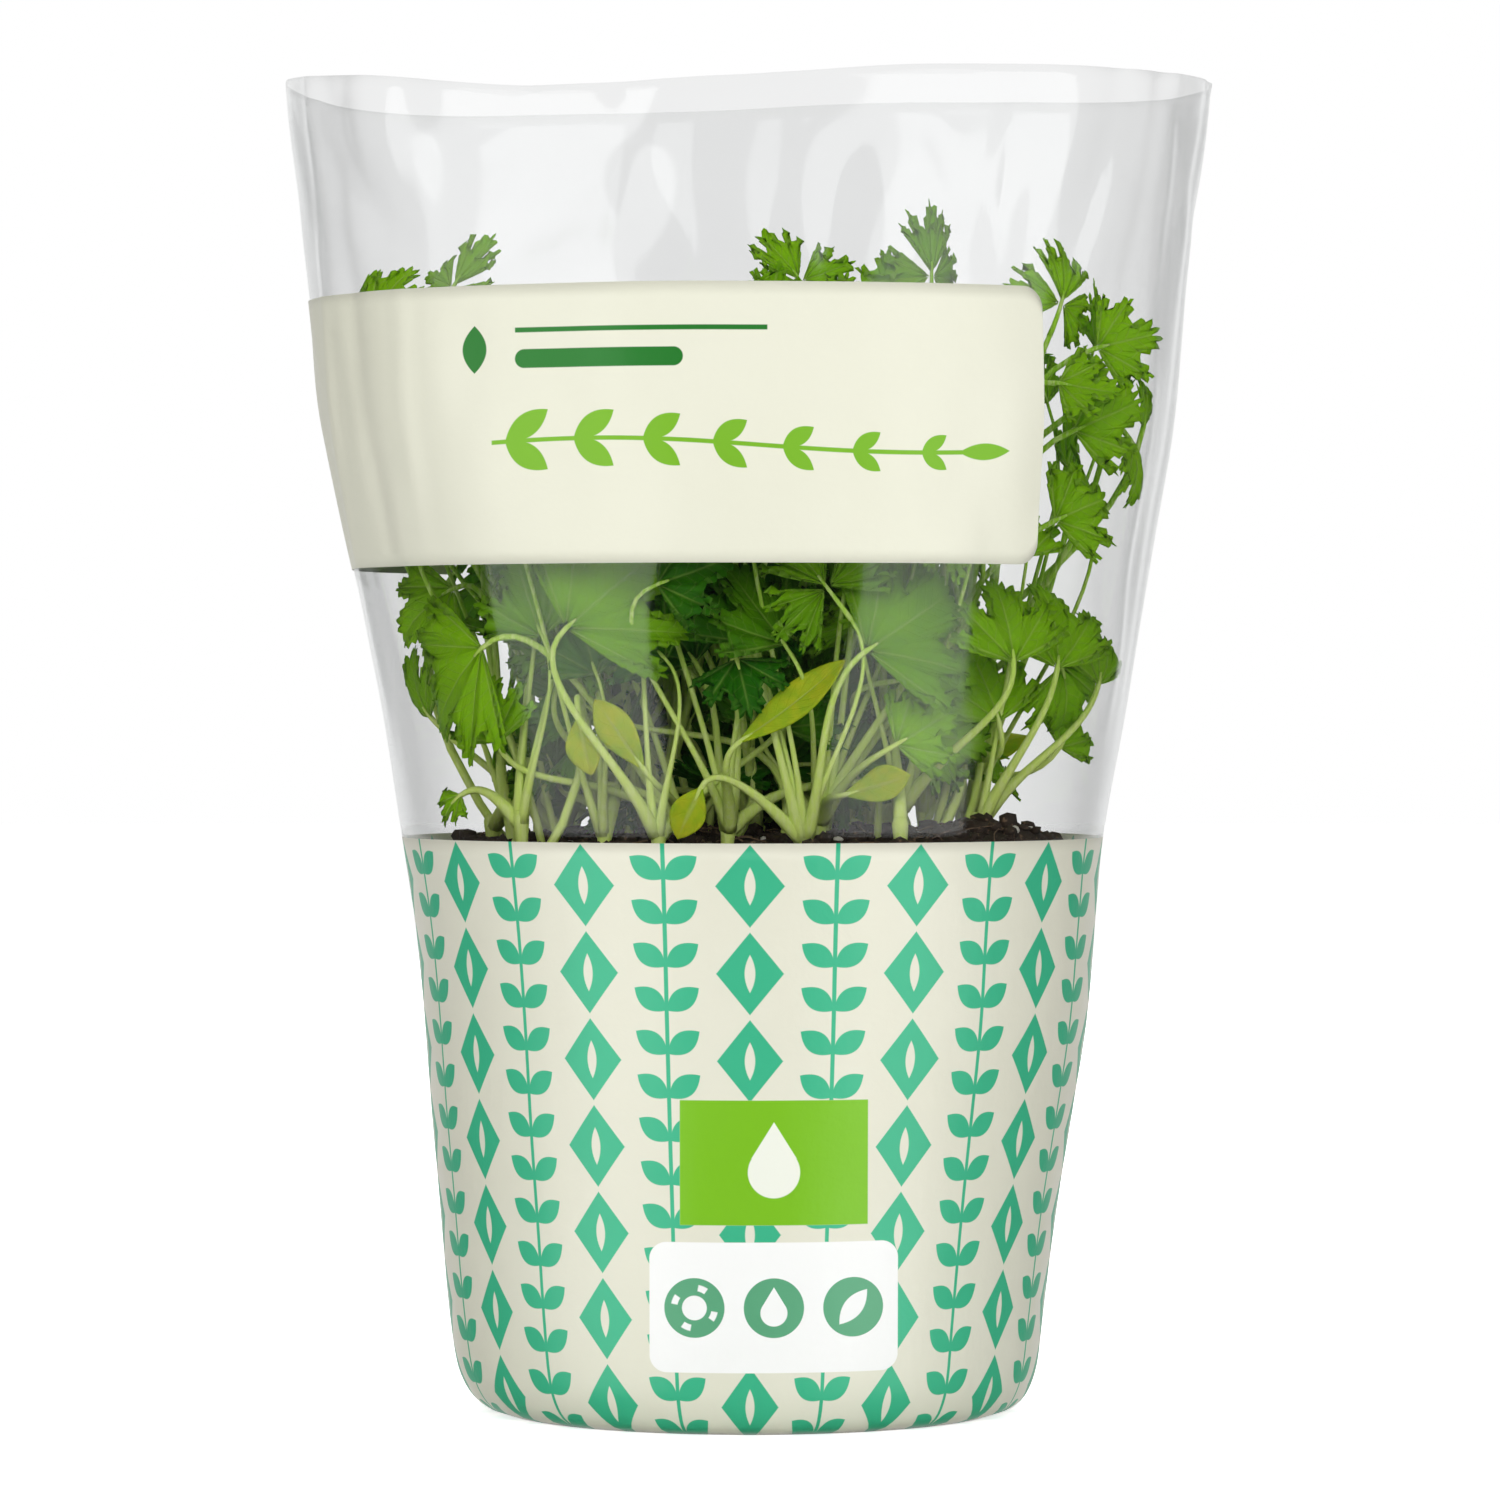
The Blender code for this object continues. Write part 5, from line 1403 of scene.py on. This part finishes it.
radius = sleeve_point(math.radians(LABEL_RIGHT), (LABEL_BOTTOM + LABEL_TOP) / 2).xy.length
rounding = math.degrees(LABEL_CORNER / radius)
columns = list(np.linspace(LABEL_LEFT, LABEL_RIGHT - rounding, LABEL_COLUMNS))
turned = np.linspace(0.12, math.pi / 2, CORNER_COLUMNS)
columns += [LABEL_RIGHT - rounding * (1 - math.sin(t)) for t in turned]
grids = []
for out in (LABEL_OFF_FILM + LABEL_THICKNESS, LABEL_OFF_FILM):
    grid = []
    for angle in columns:
        past = max(0.0, (angle - LABEL_RIGHT + rounding) / rounding)
        cut = LABEL_CORNER * (1 - math.sqrt(max(0.0, 1 - past * past)))
        heights = np.linspace(LABEL_BOTTOM + cut, LABEL_TOP - cut, LABEL_LINES)
        line = []
        for z in heights:
            below_top = (LABEL_TOP - z) / (LABEL_TOP - LABEL_BOTTOM)
            lean = LABEL_LEAN * below_top * (angle - LABEL_LEFT) / (LABEL_RIGHT - LABEL_LEFT)
            line.append(tuple(film_point(math.radians(angle + lean), z, out)))
        grid.append(line)
    grids.append(grid)

label_print, shader, place = new_finish("label_print", (0.86, 0.85, 0.71), 0.4, Specular_IOR_Level=0.45)
x, y, z = place.axis("X"), place.axis("Y"), place.axis("Z")
front = y.between(-0.005, -0.015)
x_mm, z_mm = x * 1000, z * 1000
shade = place.grain(22.0, 3.0)
cream = shade.mixed((0.756, 0.754, 0.612), (0.800, 0.798, 0.668))
u, v = x_mm + 2.0, z_mm - 178.5 + 1.3 * (x_mm * 0.055).sine()
stem = abs(v).between(0.48, 0.32) * abs(u).between(44.5, 44.2)
along_stem = (((u + 42.0) / 12.0).fraction() - 0.5) * 12.0
taper = 1.05 - 0.006 * (u + 42.0)
pair = slanted_pair(v / taper, along_stem / taper, 0.62, 4.6, 2.05, -5.6) * abs(u).between(42.0, 41.9)
end_leaf = lens(v, u - 44.0, 4.6, 1.5)
sprig = stem.most(pair).most(end_leaf)
bar = box_mask(x_mm, z_mm, *THIN_BAR).most(box_mask(x_mm, z_mm, *THICK_BAR, BAR_ROUNDING))
bar = bar.most(lens(x_mm + 49.5, z_mm - 196.0, 4.3, 2.2))
paint = (front * sprig).mixed(cream, (0.172, 0.440, 0.001))
paint = (front * bar).mixed(paint, (0.001, 0.165, 0.006))
crinkle = place.scaled(1.0, 1.0, 0.3).grain(70.0, 3.0)
feed(
    shader,
    Base_Color=paint,
    Roughness=0.34 + 0.12 * place.grain(55.0, 3.0),
    Normal=(crinkle + 0.15 * place.grain(700.0, 2.0)).bump(0.0008, 0.3),
)
faces = sheet_faces(len(columns), LABEL_LINES)
label = new_piece("label_print_layer", np.array(grids).reshape(-1, 3), faces, label_print, "label_print")
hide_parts("label_panel")

# The studio: a pale floor, a white surround, and soft lights. Two tall light panels stand in
# front, left and right, and are what the film shows as pale upright bands.
EYE_DISTANCE = 1.269
EYE_HEIGHT = 0.1331
floor_finish, shader, place = new_finish("pale_floor", (0.93, 0.93, 0.93), 0.7)
straight = Field(floor_finish.node_tree.nodes.new("ShaderNodeLightPath").outputs["Is Camera Ray"])
glow = straight.mixed((0.04, 0.04, 0.04), (0.72, 0.72, 0.72))
pale = place.grain(3.0, 2.0).mixed((0.92, 0.92, 0.92), (0.95, 0.95, 0.95))
feed(shader, Base_Color=pale, Emission_Color=glow)
shader.inputs["Emission Strength"].default_value = 1.0
turns = np.linspace(0.0, 2 * math.pi, 96, endpoint=False)
mesh = bpy.data.meshes.new("pale_floor")
mesh.from_pydata([(6 * math.cos(t), 6 * math.sin(t), 0.0) for t in turns], [], [list(range(96))])
mesh.materials.append(floor_finish)
floor = bpy.data.objects.new("pale_floor", mesh)
bpy.context.scene.collection.objects.link(floor)
floor.visible_glossy = False

world = bpy.data.worlds.new("studio")
world.use_nodes = True
bpy.context.scene.world = world
background = world.node_tree.nodes["Background"]
paths = world.node_tree.nodes.new("ShaderNodeLightPath")
seen, in_gloss = Field(paths.outputs["Is Camera Ray"]), Field(paths.outputs["Is Glossy Ray"])
heading = Field(world.node_tree.nodes.new("ShaderNodeTexCoord").outputs["Generated"])
backdrop = heading.axis("Y").between(0.68, 0.97)
strength = 0.34 + 0.66 * seen - in_gloss * (0.31 - 0.90 * backdrop)
world.node_tree.links.new(strength.socket, background.inputs["Strength"])
background.inputs["Color"].default_value = (1, 1, 1, 1)


def soft_light(name, degrees, distance, height, width, tall, watts, is_reflection):
    """A light panel at this angle from the front: it shows as a reflection, or else only fills."""
    lamp = bpy.data.lights.new(name, "AREA")
    lamp.shape = "RECTANGLE"
    lamp.size = width
    lamp.size_y = tall
    lamp.energy = watts
    made = bpy.data.objects.new(name, lamp)
    angle = math.radians(degrees)
    made.location = (distance * math.sin(angle), -distance * math.cos(angle), height)
    target = Vector((0, 0, min(height, 0.25)))
    made.rotation_euler = (target - made.location).to_track_quat("-Z", "Y").to_euler()
    made.visible_camera = False
    made.visible_glossy = is_reflection
    made.visible_diffuse = not is_reflection
    bpy.context.scene.collection.objects.link(made)


soft_light("panel_left", -50.0, 0.60, 0.10, 0.50, 0.86, 2.9, True)
soft_light("panel_right", 46.5, 0.60, 0.10, 0.50, 0.86, 2.9, True)
soft_light("fill_front", 0.0, 2.2, 0.9, 1.8, 1.2, 32.0, False)
soft_light("fill_back", 180.0, 2.0, 1.0, 1.6, 1.2, 20.0, False)
soft_light("top", 180.0, 0.35, 1.3, 1.2, 1.2, 5.0, False)

camera = bpy.data.cameras.new("camera")
camera.lens = 162.0
camera.sensor_width = 36.0
camera.shift_y = -50.0 / 1500
camera.clip_start = 0.05
camera.clip_end = 50.0
eye = bpy.data.objects.new("camera", camera)
eye.location = (0.0, -EYE_DISTANCE, EYE_HEIGHT)
eye.rotation_euler = (math.pi / 2, 0.0, 0.0)
bpy.context.scene.collection.objects.link(eye)
bpy.context.scene.camera = eye
bpy.context.scene.view_settings.view_transform = "Standard"
